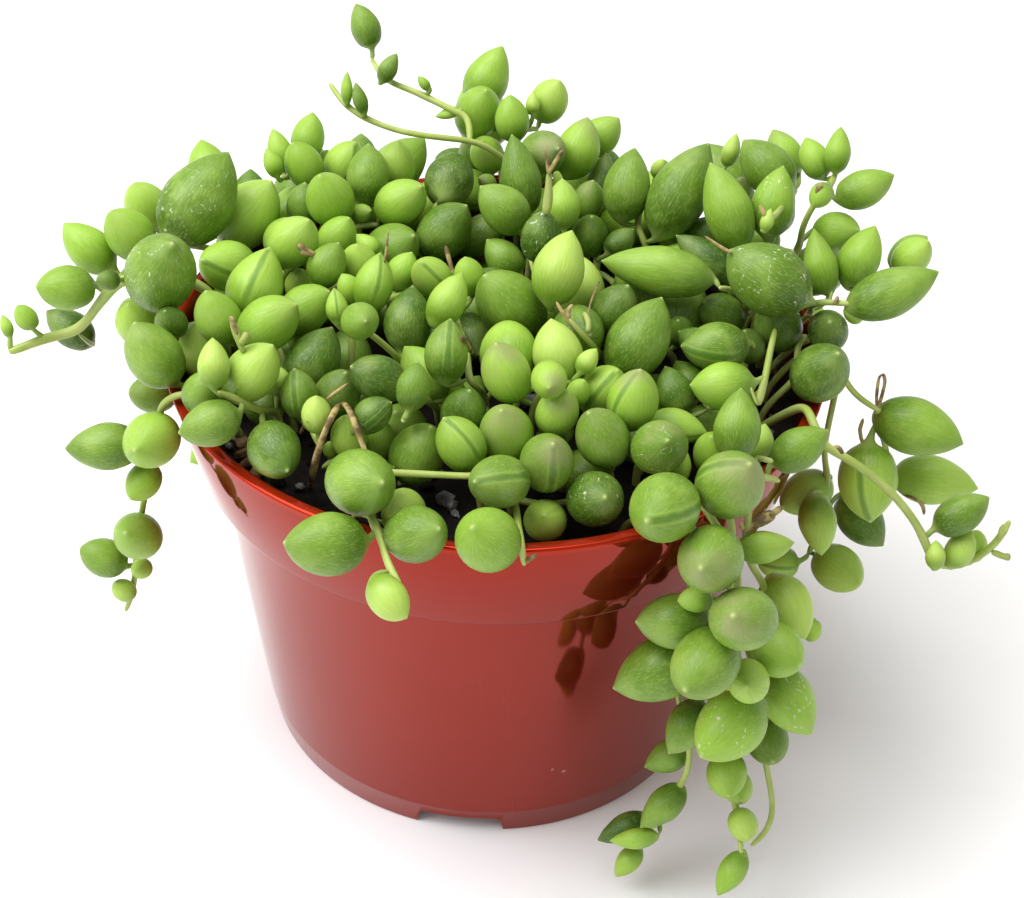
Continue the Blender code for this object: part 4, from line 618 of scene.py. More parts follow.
def settle(leaves, stems):
    """Moves leaves and stem nodes until the strands lie clear of each other and of the pot."""
    offset, radii, body, strand = [], [], [], []
    for i, leaf in enumerate(leaves):
        for t, r in leaf_balls(leaf):
            offset.append(leaf.axis * t)
            radii.append(r * BALL_SWELL)
            body.append(i)
            strand.append(leaf.strand)
    at = [leaf.c for leaf in leaves]
    held = [False] * len(leaves)
    for stem in stems:
        stem.first = len(at)
        for k, p in enumerate(stem.p):
            offset.append(np.zeros(3))
            radii.append(STEM_RADIUS + STEM_SLACK)
            body.append(len(at))
            strand.append(stem.strand)
            held.append(stem.rooted and k < len(ROOT_RISES))
            at.append(p)
    offset, radii = np.array(offset), np.array(radii)
    body, strand, held = np.array(body), np.array(strand), np.array(held)
    at = np.array(at)
    start = at.copy()
    count = len(leaves)
    is_stem = np.arange(len(at)) >= count
    view = unit(EYE - at)
    joint = np.array([stems[leaf.stem].first + leaf.node for leaf in leaves])
    pot_gap = np.where(is_stem[body], POT_GAP_STEM, POT_GAP_LEAF)
    axes = np.array([leaf.axis for leaf in leaves])
    halves = np.array([leaf.h for leaf in leaves])
    for turn in range(SETTLE_ROUNDS):
        balls = at[body] + offset
        if turn % LOOKUP_ROUNDS == 0:
            i, j = near_pairs(balls, radii, body, strand, is_stem)
            wanted = np.where(strand[i] == strand[j], OWN_CLEARANCE, CLEARANCE)
            give_i = np.where(is_stem[body[i]], 1.0, LEAF_GIVE)
            give_j = np.where(is_stem[body[j]], 1.0, LEAF_GIVE)
            whole = give_i + give_j
            give_i = np.where(held[body[i]], 0, give_i / whole)
            give_j = np.where(held[body[j]], 0, give_j / whole)
        between = balls[i] - balls[j]
        apart = length(between) + 1e-6
        over = np.maximum(0, radii[i] + radii[j] + wanted - apart)
        push = between / apart[:, None]
        move = np.zeros_like(at)
        touched = np.zeros(len(at))
        np.add.at(move, body[i], push * (over * give_i)[:, None])
        np.add.at(move, body[j], -push * (over * give_j)[:, None])
        np.add.at(touched, body[i], (over > 0) * 1.0)
        np.add.at(touched, body[j], (over > 0) * 1.0)
        move /= np.maximum(1, touched * 0.6)[:, None]
        # a leaf slips along the line of sight before it leaves its place in the picture
        along = view * (move * view).sum(1, keepdims=True)
        move = np.where(is_stem[:, None], move, along * SLIP_ALONG + (move - along) * SLIP_ACROSS)
        at = at + move * np.minimum(1, LARGEST_STEP / np.maximum(length(move), 1e-9))[:, None]
        drift = at - start
        along = view * (drift * view).sum(1, keepdims=True)
        if turn < SETTLE_ROUNDS - FREE_ROUNDS:
            at = at - (drift - along) * np.where(is_stem, 0.0, DRAW_BACK)[:, None]
        at = draw_stems(at, start, stems, view, held, joint, axes, halves, count)
        balls = at[body] + offset
        out, amount = push_from_pot(balls, radii + pot_gap)
        move = np.zeros_like(at)
        touched = np.zeros(len(at))
        np.add.at(move, body, out)
        np.add.at(touched, body, (amount > 0) * 1.0)
        at = at + move / np.maximum(1, touched)[:, None] * (~held)[:, None]
        lowest = np.full(len(at), 1e9)
        np.minimum.at(lowest, body, balls[:, 2] - radii)
        at[:, 2] += np.maximum(0, TABLE_GAP - lowest)
    for leaf, c in zip(leaves, at):
        leaf.c = c
    for stem in stems:
        stem.p = at[stem.first:stem.first + len(stem.p)]


def draw_stems(at, start, stems, view, held, joint, axes, halves, count):
    """Keeps the stems smooth, near the bases of their leaves and on their seen course."""
    gap = at[:count] - axes * (halves + BASE_GAP)[:, None] - at[joint]
    far = length(gap) + 1e-9
    reach = np.zeros_like(at)
    pulls = np.zeros(len(at))
    np.add.at(reach, joint, gap / far[:, None] * (np.maximum(0, far - BASE_SLACK) * 0.5)[:, None])
    np.add.at(pulls, joint, 1.0)
    drawn = at + reach / np.maximum(1, pulls)[:, None] * (~held)[:, None]
    for stem in stems:
        run = slice(stem.first, stem.first + len(stem.p))
        p = drawn[run]
        q = p.copy()
        if len(p) > 2:
            q[1:-1] = p[1:-1] * 0.6 + 0.2 * (p[:-2] + p[2:])
        if stem.seen:
            back = stem.p0 - q
            back = back - view[run] * (back * view[run]).sum(1, keepdims=True)
            free = len(ROOT_RISES) + 1 if stem.rooted else 0
            q[free:] = q[free:] + COURSE_PULL * back[free:]
        drawn[run] = q
    return np.where(held[:, None], start, drawn)


def cross_frame(direction, before=None):
    """Two directions square to a tube's course, turned as little as possible from the last."""
    hint = before if before is not None else np.array([0.0, 0.0, 1.0])
    if abs((hint * direction).sum()) > 0.97:
        hint = np.array([1.0, 0.0, 0.0])
    one = unit(hint - direction * (hint * direction).sum())
    return one, np.cross(direction, one)


def nearest_on(course, point):
    """The point of a course that lies nearest to another point."""
    start, end = course[:-1], course[1:]
    run = end - start
    share = ((point - start) * run).sum(1) / np.maximum((run * run).sum(1), 1e-9)
    near = start + np.clip(share, 0.02, 0.98)[:, None] * run
    return near[length(near - point).argmin()]


# Looks of single leaves, by the pixel where they are read in the photograph. A striped leaf turns
# the dark window along its length to the eye, by this many degrees. The tone sets hold the leaf's own
# green and painted light and shade together: the yellow-green young set and LIGHT, which is paler,
# are partly painted light; SHADED, darker, and DEEP, the darkest, are partly painted shade. BLOOMED
# is grey-purple above its middle and SCUFFED has white threads in its skin.
STRIPED = {(226, 265): -20, (343, 163): 25, (432, 275): 10, (295, 392): -15, (448, 355): 5,
           (375, 415): 20, (256, 283): -10, (632, 398): -35, (603, 388): -10, (680, 430): 30,
           (714, 345): -25, (501, 481): 10, (665, 506): -40, (548, 457): 25, (870, 482): 15,
           (778, 562): -20, (465, 444): 20, (729, 483): -60, (336, 307): 0, (373, 283): 12}
YOUNG_AND_LIT = {(326, 165), (787, 608), (277, 380), (217, 364), (560, 268), (560, 352), (587, 366),
         (731, 150), (533, 104), (550, 100), (767, 221), (660, 168), (935, 555), (961, 549),
         (390, 598), (319, 415), (743, 822), (585, 285)}
LIGHT = {(293, 275), (682, 466), (358, 262), (448, 392), (432, 275), (343, 163), (394, 166),
         (152, 321), (838, 570), (870, 482), (506, 383), (762, 442), (603, 388), (364, 212),
         (146, 205), (255, 214), (577, 390), (811, 630), (737, 790), (935, 482), (448, 113),
         (975, 545), (805, 493), (545, 519), (124, 589), (561, 412), (349, 435), (405, 512),
         (680, 430), (6, 326), (295, 246), (817, 525), (848, 316), (255, 371), (336, 307),
         (187, 350)}
SHADED = {(362, 484), (652, 445), (419, 533), (705, 660), (520, 176), (328, 264), (714, 345),
          (637, 338), (203, 390), (103, 557), (548, 457), (487, 181), (710, 558), (655, 668),
          (391, 245), (300, 203), (360, 320), (162, 270), (199, 197), (501, 481), (389, 68),
          (675, 620), (768, 275), (209, 423), (367, 175), (736, 425), (103, 446), (448, 355),
          (505, 255), (598, 437), (545, 152), (417, 450), (800, 447), (360, 98), (295, 392),
          (729, 483), (364, 26), (893, 290), (767, 165), (743, 188), (662, 807), (685, 725),
          (665, 506), (413, 386), (683, 190), (741, 618), (767, 740), (668, 757), (588, 200),
          (326, 539), (510, 303), (629, 185), (158, 368), (503, 210), (962, 513), (152, 392)}
DEEP = {(446, 180), (406, 318), (318, 357), (335, 392), (462, 408), (590, 234), (601, 180),
        (620, 242), (680, 330), (722, 312), (748, 345), (780, 322), (826, 326), (596, 492),
        (613, 310), (375, 415), (70, 327), (863, 520), (622, 828), (674, 392), (708, 258), (378, 376),
        (279, 451), (820, 373), (108, 280), (442, 228), (541, 236)}
BLOOMED = {(487, 155), (545, 152), (577, 148), (588, 200), (743, 188), (785, 152), (506, 383),
           (549, 379), (509, 425), (548, 457), (598, 437), (652, 445), (632, 398), (729, 483),
           (710, 558), (741, 618), (561, 412), (487, 181)}
SCUFFED = {(162, 270), (775, 202), (541, 236), (768, 275), (826, 326), (790, 700), (652, 445),
           (728, 726), (596, 492), (199, 197)}

# A leaf's tone runs from deep green at 0 to young green at 1: the lowest of its kind, and how far
# a draw may lift it. An inner leaf, deep among the strands, is kept low as painted shade. A small
# leaf gets a lift, and an inner one out over the side of the pot is lifted out of that painted shade.
PLAIN_TONE = (0.34, 0.24)
INNER_SHADE_TONE = (0.04, 0.22)
MARKED_TONES = ((SHADED, (0.14, 0.12)), (LIGHT, (0.62, 0.14)), (YOUNG_AND_LIT, (0.86, 0.14)),
                (DEEP, (0.0, 0.10)))
SMALL_LEAF, SMALL_LIFT = 3.0, 0.08
OUTER_REACH, OUTER_LIFT = RIM_RADIUS + 8, 0.36
PLAIN_BLOOM, MARKED_BLOOM = 0.25, 0.85
PLAIN_WINDOW, WINDOW_TURN = 0.35, (100, 160)
LEAF_BEND, LEAF_DROOP = 0.10, -0.35
LEAF_SEED = 1000
# How much leaves differ in fullness, are flattened and are out of round, as shares of their width
FULLNESS, FLATNESS, UNROUND = 0.05, 0.07, 0.025
ANY_TURN = 6.3

# A leaf that the photograph shows behind its stem, and how far back it goes, in mm
PUSHED_BACK = {(70, 327): 7.5}

# How thick a strand's stem is against the others
STEM_SIZES = {"left_spray": 1.55, "right_pale_stem": 1.2}
# A stem thins to its end, swells where a leaf leaves it, and thins more where it is bare
STEM_THINNING, NODE_SWELLING, LAST_NODE = 0.8, 1.22, 0.8
BARE_THINNING = (0.85, 0.55)
BARE_DROP = 15
# How old and dry a stem looks at its start, and at its end. A rooted stem's start is also darkened as painted
# shade, low among the leaves.
LEAFLESS_AGE, ROOTED_AGE_AND_SHADE, SIDE_AGE = 0.70, 0.40, 0.10
BARE_END, GREEN_END = 0.9, 0.05

# A leaf's outline from base to tip: (share of its length, share of its half width). Its stalk has
# rings of its own, at places that run from -1 at the stem to 0 at the base. It starts before the
# stem's middle by a share of its first link, and its curve keeps both directions for a share.
STALK_RINGS = (-0.6,)
STALK_START = 0.55
CURVE_REACH = 0.45
BODY_RINGS = ((0.0, 0.21), (0.10, 0.63), (0.26, 0.91), (0.46, 1.0), (0.67, 0.86), (0.85, 0.52),
              (0.96, 0.14))

# Where the photograph looks through the leaves to the soil: x px, y px, radius px
SOIL_SHOWS = ((262, 462, 26), (240, 425, 14), (300, 492, 18), (450, 500, 26), (556, 492, 14),
              (600, 525, 14), (640, 470, 8), (750, 370, 10), (795, 375, 30), (790, 425, 26),
              (800, 345, 14), (312, 470, 14), (475, 262, 7), (535, 395, 7), (350, 335, 5))
# The short inner leaves close gaps that show from the camera and from these places, in mm. They
# are tried from the largest half width and the highest rise above the soil down.
FILL_SEED = 3
FILL_EYES = ((0.0, 0.0, 600.0), (0.0, 420.0, 330.0), (-420.0, 60.0, 300.0), (420.0, 60.0, 300.0))
FILL_SIZES = (4.8, 4.4, 4.0, 3.6, 3.2, 2.8, 2.4)
FILL_RISE = (16.0, 14.0, 12.0, 10.0, 8.5, 7.0, 5.5, 4.0)
FILL_REACH = 8.5
FILL_TRIES = 4
FILL_PLUMPNESS = (1.36, 0.16)
FILL_UPWARD = 0.35
# An inner leaf may lie this far in its neighbours and in the pot, in mm
FILL_OVERLAP, POT_OVERLAP = 0.25, 0.2
# Neighbours are looked up this far off the line of sight, and this far below and above its foot
FILL_OFF, FILL_BELOW, FILL_ABOVE = 12, -6, 40
# A leaf is kept off the soil that shows by this many pixels for each mm of its half width
SOIL_MARGIN = 4.5
GAP_PITCH, FAR_GAP_PITCH = 2.5, 4.5
GAP_SPAN = 54.0
SOIL_GAP_RADIUS, RIM_GAP_RADIUS = 47.5, 54.5
RIM_GAP_FRONT = -12
SOIL_GAP_RISE, RIM_GAP_RISE = 1.0, 1.5
# Sides of the cages before rounding, and how far past its ends a stem's cage goes, as a share of
# the link there
LEAF_AROUND = 8
INNER_AROUND = 6
STEM_AROUND = 6
END_START = 0.22

# The withered twig's bend in pixels, and the dried bits: surface (0 dry, 1 green), radii at both ends in
# mm, how much the end swells, and the pixels it runs through from where it is held
TWIG_BEND = ((310, 484), (315, 462), (322, 438), (331, 418), (338, 405), (343, 402), (349, 408),
             (355, 424), (361, 440), (366, 454))
BITS = (
    (0, 0.35, 0.8, 1.1, ((315, 254), (308, 251), (303, 248), (298, 245))),
    (0, 0.30, 0.5, 1.2, ((312, 256), (306, 254), (301, 252))),
    (1, 0.55, 0.9, 0.6, ((243, 352), (240, 342), (236, 332), (232, 321))),
    (0, 0.30, 0.5, 1.3, ((237, 334), (234, 326), (231, 317))),
    (1, 0.50, 0.9, 1.0, ((240, 344), (245, 339), (247, 333))),
    (0, 0.35, 0.3, 0.8, ((327, 399), (336, 392), (347, 384))),
    (0, 0.40, 0.3, 0.8, ((300, 434), (303, 428), (307, 422))),
    (0, 0.35, 0.22, 0.8, ((385, 261), (387, 246), (388, 232))),
    (0, 0.40, 0.36, 1.5, ((453, 273), (449, 260), (446, 247))),
    (1, 1.00, 0.7, 0.8, ((546, 214), (548, 200), (549, 186), (549, 172))),
    (0, 0.50, 0.22, 0.8, ((549, 174), (547, 162), (545, 148))),
    (0, 0.50, 0.35, 1.5, ((549, 172), (555, 162), (562, 151))),
    (0, 0.60, 0.4, 0.8, ((578, 332), (571, 322), (563, 314), (557, 303))),
    (0, 0.50, 0.5, 0.8, ((570, 321), (566, 312), (572, 305))),
    (1, 0.75, 0.6, 0.8, ((604, 360), (592, 345), (580, 332), (570, 320))),
    (0, 0.22, 0.2, 1.0, ((588, 316), (590, 303), (595, 292), (599, 282))),
    (1, 0.45, 0.7, 0.9, ((584, 313), (588, 319), (589, 326), (588, 332))),
    (0, 0.42, 0.3, 0.8, ((731, 253), (719, 246), (706, 237))),
    (0, 0.60, 0.35, 0.8, ((765, 216), (763, 211), (760, 206))),
    (1, 0.90, 0.5, 1.0, ((758, 404), (762, 390), (766, 377))),
    (1, 0.35, 0.3, 0.8, ((757, 404), (753, 395), (751, 388))),
    (0, 0.45, 0.4, 1.2, ((816, 193), (818, 187), (822, 184))),
    (1, 0.50, 0.4, 0.7, ((829, 305), (830, 299), (832, 292))),
    (0, 0.42, 0.4, 1.1, ((834, 305), (836, 301), (838, 297))),
    (0, 0.45, 0.4, 1.3, ((812, 318), (808, 314), (804, 317))),
    (0, 0.34, 0.3, 0.9, ((876, 404), (877, 390), (879, 374), (883, 375))),
    (0, 0.34, 0.4, 1.0, ((879, 405), (883, 392), (886, 379), (883, 374))),
    (0, 0.45, 0.35, 0.8, ((858, 432), (861, 426), (863, 419))),
    (0, 0.50, 0.6, 0.7, ((842, 454), (840, 449), (835, 446))),
    (0, 0.35, 0.6, 0.5, ((903, 494), (911, 496), (919, 500), (924, 507), (924, 514))),
    (0, 0.90, 1.3, 0.7, ((744, 531), (751, 525), (759, 521), (767, 517), (774, 514))),
    (0, 0.70, 0.5, 1.3, ((771, 516), (776, 511), (781, 508))),
    (0, 0.50, 0.4, 1.0, ((743, 529), (741, 526), (742, 522))),
    (1, 0.60, 0.6, 1.7, ((992, 552), (998, 554), (1004, 557), (1010, 557))),
    (1, 0.60, 0.7, 1.6, ((998, 541), (1002, 533), (1005, 527))),
    (0, 0.45, 0.4, 0.9, ((526, 562), (531, 558), (536, 555))),
    (0, 0.50, 0.5, 1.1, ((472, 353), (466, 344), (462, 336))),
)
# Perlite, stones and bark where the photograph shows them: x px, y px, size mm, surface
LUMPS = ((779, 424, 4.2, 1), (786, 436, 2.6, 1), (770, 432, 1.8, 1), (445, 500, 3.4, 1),
         (452, 506, 2.0, 1), (533, 401, 3.0, 1), (540, 396, 2.2, 1), (560, 485, 3.0, 1),
         (712, 410, 2.8, 1), (640, 470, 2.4, 1), (246, 452, 2.4, 2), (250, 462, 2.6, 2),
         (256, 473, 2.8, 2), (243, 443, 2.2, 2), (300, 486, 1.6, 1))


class Grown:
    """The settled strands, worked out once."""


def on_photo(point):
    """The pixel of the photograph where a point shows."""
    from_eye = point - EYE
    right, up, back = (from_eye * CAMERA_AXES).sum(1)
    return PHOTO_CENTRE[0] - FOCAL_PX * right / back, PHOTO_CENTRE[1] + FOCAL_PX * up / back


def soil_shows(point, margin=0.0):
    """Whether the photograph shows soil at a point, or within a margin of pixels from it."""
    x, y = on_photo(point)
    return any(math.hypot(x - left, y - down) < r + margin for left, down, r in SOIL_SHOWS)


def from_line(points, start, way):
    """How far along a line of sight each point lies, and how far off it."""
    along = (points - start) @ way
    return along, length(points - start - along[:, None] * way)


def gap_targets(eye):
    """Points low in the pot that could be seen from an eye through a gap in the leaves."""
    step = GAP_PITCH if eye is EYE else FAR_GAP_PITCH
    found = []
    across = np.arange(-GAP_SPAN, GAP_SPAN + 0.1, step)
    for x in across:
        for y in across:
            r = math.hypot(x, y)
            if r < SOIL_GAP_RADIUS:
                found.append(np.array([x, y, SOIL_TOP + SOIL_GAP_RISE]))
            elif r < RIM_GAP_RADIUS and y > RIM_GAP_FRONT and eye is EYE:
                found.append(np.array([x, y, POT_HEIGHT + RIM_GAP_RISE]))
    return found


def rim_points(c, a, share=0.92):
    """Points round the outline of a ball as the photograph shows it."""
    view = unit(EYE - c)
    one, two = cross_frame(view)
    turns = np.arange(8) * math.pi / 4
    return c + share * a * (np.cos(turns)[:, None] * one + np.sin(turns)[:, None] * two)


def behind_others(points, balls, radii):
    """Whether each point is hidden from the photograph's eye by a ball."""
    way = unit(points - EYE)
    along = way @ (balls - EYE).T
    off = length(balls[None] - EYE - along[..., None] * way[:, None])
    return ((off < radii[None] * 0.97) & (along < length(points - EYE)[:, None] - 1.0)).any(1)


def into_pot(points, reach):
    """Whether the photograph looks at the pot's mouth, as far as this radius, through each point."""
    way = unit(points - EYE)
    there = EYE + way * ((POT_HEIGHT - EYE[2]) / way[:, 2])[:, None]
    return length(there[:, :2]) < reach


def fill_inside(leaves, stems):
    """Grows the short leaves deep among the strands that close the gaps in the canopy.

    Each is put where a line of sight would reach the soil, as high and as large as fits clear
    of its neighbours, on the nearest stem, and never in front of a leaf of the photograph.
    """
    rng = np.random.default_rng(FILL_SEED)
    nodes = [(i, k) for i, stem in enumerate(stems) for k in range(2 if stem.rooted else 0, len(stem.p))
             if stem.strand != len(STRANDS) - 1]
    node_at = np.array([stems[i].p[k] for i, k in nodes])
    balls = [leaf.c + leaf.axis * t for leaf in leaves for t, _ in leaf_balls(leaf)] + list(node_at)
    radii = [r for leaf in leaves for _, r in leaf_balls(leaf)] + [STEM_RADIUS] * len(node_at)
    balls, radii = np.array(balls), np.array(radii)
    seen = balls.copy(), radii.copy()
    centres = np.array([leaf.c for leaf in leaves]), np.array([leaf.a for leaf in leaves])
    made = []
    for eye in (EYE, *map(np.array, FILL_EYES)):
        for target in gap_targets(eye):
            if eye is EYE and soil_shows(target):
                continue
            way = unit(eye - target)
            along, off = from_line(balls, target, way)
            if (off[along > 0] < radii[along > 0]).any():
                continue
            near = (off < FILL_OFF) & (along > FILL_BELOW) & (along < FILL_ABOVE)
            reach = RIM_RADIUS - LIP_WIDTH - 0.5 if target[2] < POT_HEIGHT else RIM_RADIUS + 3.0

            def shows_well(c, a, eye=eye, reach=reach):
                points = rim_points(c, a)
                hidden = behind_others(points, *seen)
                if eye is not EYE:
                    return hidden.all() and behind_others(c[None], *seen)[0]
                if not (hidden | into_pot(points, reach)).all():
                    return False
                if soil_shows(c, SOIL_MARGIN * a):
                    return False
                along, off = from_line(centres[0], EYE, unit(c - EYE))
                return not ((off < (a + centres[1]) * 0.8) & (along > length(c - EYE) - 1)).any()

            leaf = fitting_leaf(target, way, balls[near], radii[near], nodes, node_at, stems, rng, shows_well)
            if leaf is not None:
                made.append(leaf)
                mine = leaf_balls(leaf)
                balls = np.concatenate([balls, [leaf.c + leaf.axis * t for t, _ in mine]])
                radii = np.concatenate([radii, [r for _, r in mine]])
    return made


def fitting_leaf(target, way, balls, radii, nodes, node_at, stems, rng, shows_well):
    """The largest leaf that fits on a line of sight and reaches a stem, or None."""
    for a in FILL_SIZES:
        for rise in FILL_RISE:
            c = target + way * (rise / max(way[2], 0.3))
            if (length(balls - c) < radii + a * 0.9 - 0.3).any():
                continue
            far = length(node_at - c)
            pick = int(far.argmin())
            if far[pick] > FILL_REACH + a or not shows_well(c, a):
                continue
            for _ in range(FILL_TRIES):
                leaf = Leaf()
                leaf.a, leaf.h = a, a * drawn_from(FILL_PLUMPNESS, rng)
                leaf.axis = unit((c - node_at[pick]) / far[pick] + 0.9 * (rng.random(3) - 0.5)
                                 + np.array([0, 0, FILL_UPWARD]))
                leaf.c = c
                base = c - leaf.axis * leaf.h
                node = int(length(node_at - base).argmin())
                if length(node_at[node] - base) > FILL_REACH:
                    continue
                mine = leaf_balls(leaf)
                own = np.array([c + leaf.axis * t for t, _ in mine])
                size = np.array([r for _, r in mine])
                apart = length(own[:, None] - balls[None]) - size[:, None] - radii[None]
                if (apart < -FILL_OVERLAP).any() or (push_from_pot(own, size)[1] > POT_OVERLAP).any():
                    continue
                leaf.stem, leaf.node = nodes[node]
                leaf.strand = stems[leaf.stem].strand
                return leaf
    return None


def grown():
    if not hasattr(Grown, "names"):
        Grown.names, Grown.leaves, Grown.stems = read_strands()
        settle(Grown.leaves, Grown.stems)
        grown_first = len(Grown.leaves)
        seen = [row[:2] for _, _, _, rows in STRANDS for row in rows]
        for leaf, at in zip(Grown.leaves, seen):
            leaf.c = leaf.c + unit(leaf.c - EYE) * PUSHED_BACK.get(at, 0.0)
        Grown.leaves += fill_inside(Grown.leaves, Grown.stems)
        for n, leaf in enumerate(Grown.leaves):
            leaf.seen_at = seen[n] if n < len(seen) else None
            leaf.inner = n >= grown_first
            leaf.rng = np.random.default_rng(LEAF_SEED + n)
        balls = [(leaf.c + leaf.axis * t, r) for leaf in Grown.leaves for t, r in leaf_balls(leaf)]
        balls += [(point, STEM_RADIUS) for stem in Grown.stems for point in stem.p]
        Grown.balls = np.array([c for c, _ in balls]), np.array([r for _, r in balls])
    return Grown


# Node helpers

def wire(tree, kind, inputs=(), out=0, **settings):
    """Adds a node, sets or links its inputs, and returns one of its outputs."""
    made = tree.nodes.new("ShaderNode" + kind)
    for key, value in settings.items():
        setattr(made, key, value)
    for key, value in dict(inputs).items():
        if isinstance(value, bpy.types.NodeSocket):
            tree.links.new(value, made.inputs[key])
        else:
            made.inputs[key].default_value = value
    return made.outputs[out]


def reckon(tree, op, a, b=0.0, clamp=False):
    return wire(tree, "Math", {0: a, 1: b}, operation=op, use_clamp=clamp)


def times(tree, a, b):
    return reckon(tree, "MULTIPLY", a, b)


def blend_of(tree, share, a, b, mode="MIX"):
    a, b = [(*v, 1.0) if isinstance(v, (tuple, list)) and len(v) == 3 else v for v in (a, b)]
    return wire(tree, "Mix", {0: share, 6: a, 7: b}, out=2, data_type="RGBA", blend_type=mode,
                clamp_factor=True)


def ramp_of(tree, value, low, high, to_low=0.0, to_high=1.0, smooth=True):
    return wire(tree, "MapRange", {0: value, 1: low, 2: high, 3: to_low, 4: to_high},
                interpolation_type="SMOOTHSTEP" if smooth else "LINEAR")


def grain_of(tree, place, scale, detail=2.0, rough=0.5, out=0, distortion=0.0):
    return wire(tree, "TexNoise", {"Vector": place, "Scale": scale, "Detail": detail,
                                   "Roughness": rough, "Distortion": distortion}, out=out)


def attribute_of(tree, name):
    """The three numbers of a vertex attribute, each as a socket."""
    apart = tree.nodes.new("ShaderNodeSeparateXYZ")
    tree.links.new(wire(tree, "Attribute", out=1, attribute_name=name), apart.inputs[0])
    return apart.outputs[0], apart.outputs[1], apart.outputs[2]


def finish(name, viewport):
    """A new node material: its tree and its shader."""
    made = bpy.data.materials.new(name)
    made.use_nodes = True
    made.diffuse_color = (*viewport, 1.0)
    shader = made.node_tree.nodes["Principled BSDF"]
    return made, made.node_tree, shader


def coat(tree, shader, skin, dull):
    """Feeds a colour and a roughness to the shader."""
    tree.links.new(skin, shader.inputs["Base Color"])
    tree.links.new(dull, shader.inputs["Roughness"])


def bump_of(tree, shader, height, strength, distance):
    bump = wire(tree, "Bump", {"Strength": strength, "Distance": distance, "Height": height})
    tree.links.new(bump, shader.inputs["Normal"])


# Finishes

LEAF_SHINE, PLASTIC_SHINE, ROUGH_SHINE, FLOOR_SHINE = 0.36, 0.68, 0.3, 0.1
PLASTIC_IOR = 2.3
FLOOR_DULLNESS = 0.9


def leaf_finish(look, scuffed=False):
    """Juicy leaf skin: a green partly of painted light and shade, painted shade towards the base, fine grain
    along the leaf, a dark window, a pale point, bloom and scuffs.
    """
    made, tree, shader = finish("scuffed_leaf_skin" if scuffed else "leaf_skin", look.mid[:])
    x, y, v = attribute_of(tree, "grain")
    tone, window, bloom = attribute_of(tree, "look")
    _, own, width = attribute_of(tree, "marks")
    here = wire(tree, "TexCoord", out=3)
    shift = times(tree, own, 31.0)

    def along(around, length):
        """A place on the skin that is stretched along the leaf."""
        return wire(tree, "CombineXYZ", {0: times(tree, x, around),
                                         1: times(tree, y, around),
                                         2: reckon(tree, "ADD", times(tree, v, length),
                                                   shift)})

    streak = grain_of(tree, along(17.0, 5.0), 1.0, 2.0, 0.6)
    dash = grain_of(tree, along(34.0, 17.0), 1.0, 1.0)
    pores = grain_of(tree, along(26.0, 26.0), 1.0, 1.0)
    cloud = grain_of(tree, here, 210.0, 2.0)
    # the tone: the leaf's own green with painted light and shade in it, from deep to young green
    deep = blend_of(tree, ramp_of(tree, tone, 0.0, 0.5, smooth=False), look.deep[:], look.mid[:])
    green = blend_of(tree, ramp_of(tree, tone, 0.5, 1.0, smooth=False), deep, look.young[:])
    # painted shade: the leaf darkens from its middle towards its base
    green = blend_of(tree, ramp_of(tree, v, 0.62, 0.10, 0.0, 0.85), green, look.shade[:], "MULTIPLY")
    green = blend_of(tree, ramp_of(tree, streak, 0.35, 0.65, 0.0, 0.42), green, look.streak[:], "MULTIPLY")
    green = blend_of(tree, ramp_of(tree, cloud, 0.4, 0.7, 0.0, 0.25), green, look.pale[:])
    green = blend_of(tree, ramp_of(tree, dash, 0.55, 0.66, 0.0, 0.28), green, look.pale[:])
    # paler round the base, and yellow-green where the leaf thins to its point
    green = blend_of(tree, ramp_of(tree, v, 0.12, 0.0, 0.0, 0.6), green, look.stalk[:])
    # the window: a band of clear skin from the point most of the way down one side
    wobble = times(tree, reckon(tree, "SUBTRACT", cloud, 0.5), 0.10)
    lateral = reckon(tree, "ADD", times(tree, reckon(tree, "ABSOLUTE", y), width), wobble)
    front = ramp_of(tree, x, 0.0, 0.2)
    band = times(tree, ramp_of(tree, lateral, 0.14, 0.03), front)
    reach = times(tree, ramp_of(tree, v, 0.12, 0.45), ramp_of(tree, v, 0.985, 0.93))
    band = times(tree, times(tree, band, reach), window)
    edge = times(tree, ramp_of(tree, lateral, 0.24, 0.16), ramp_of(tree, lateral, 0.10, 0.16))
    edge = times(tree, times(tree, edge, front), times(tree, reach, window))
    green = blend_of(tree, times(tree, band, 0.62), green, look.window[:])
    green = blend_of(tree, times(tree, edge, 0.25), green, look.pale[:])
    # grey-purple bloom that clouds the upper third
    hazy = times(tree, ramp_of(tree, v, 0.52, 0.92), ramp_of(tree, cloud, 0.30, 0.62))
    hazy = times(tree, hazy, bloom)
    green = blend_of(tree, times(tree, hazy, 0.72), green, look.bloom[:])
    # the point
    green = blend_of(tree, ramp_of(tree, v, 0.955, 0.995, 0.0, 0.9), green, look.point[:])
    # pale pores, and white scuffs in broken rings and threads
    green = blend_of(tree, ramp_of(tree, pores, 0.68, 0.76, 0.0, 0.45), green, look.pale[:])
    if scuffed:
        ring = grain_of(tree, here, 190.0, 2.0, 0.6)
        thread = reckon(tree, "ABSOLUTE", reckon(tree, "SUBTRACT", ring, 0.5))
        thread = times(tree, ramp_of(tree, thread, 0.012, 0.001),
                       ramp_of(tree, grain_of(tree, here, 1900.0, 1.0), 0.5, 0.66))
        green = blend_of(tree, times(tree, thread, 0.75), green, look.scuff[:])
    rough = ramp_of(tree, streak, 0.3, 0.7, look.roughness - 0.04, look.roughness + 0.08)
    rough = reckon(tree, "ADD", rough, times(tree, hazy, 0.15), clamp=True)
    coat(tree, shader, green, rough)
    shader.inputs["Specular IOR Level"].default_value = LEAF_SHINE
    bump_of(tree, shader, streak, 0.65, 0.0001)
    return made


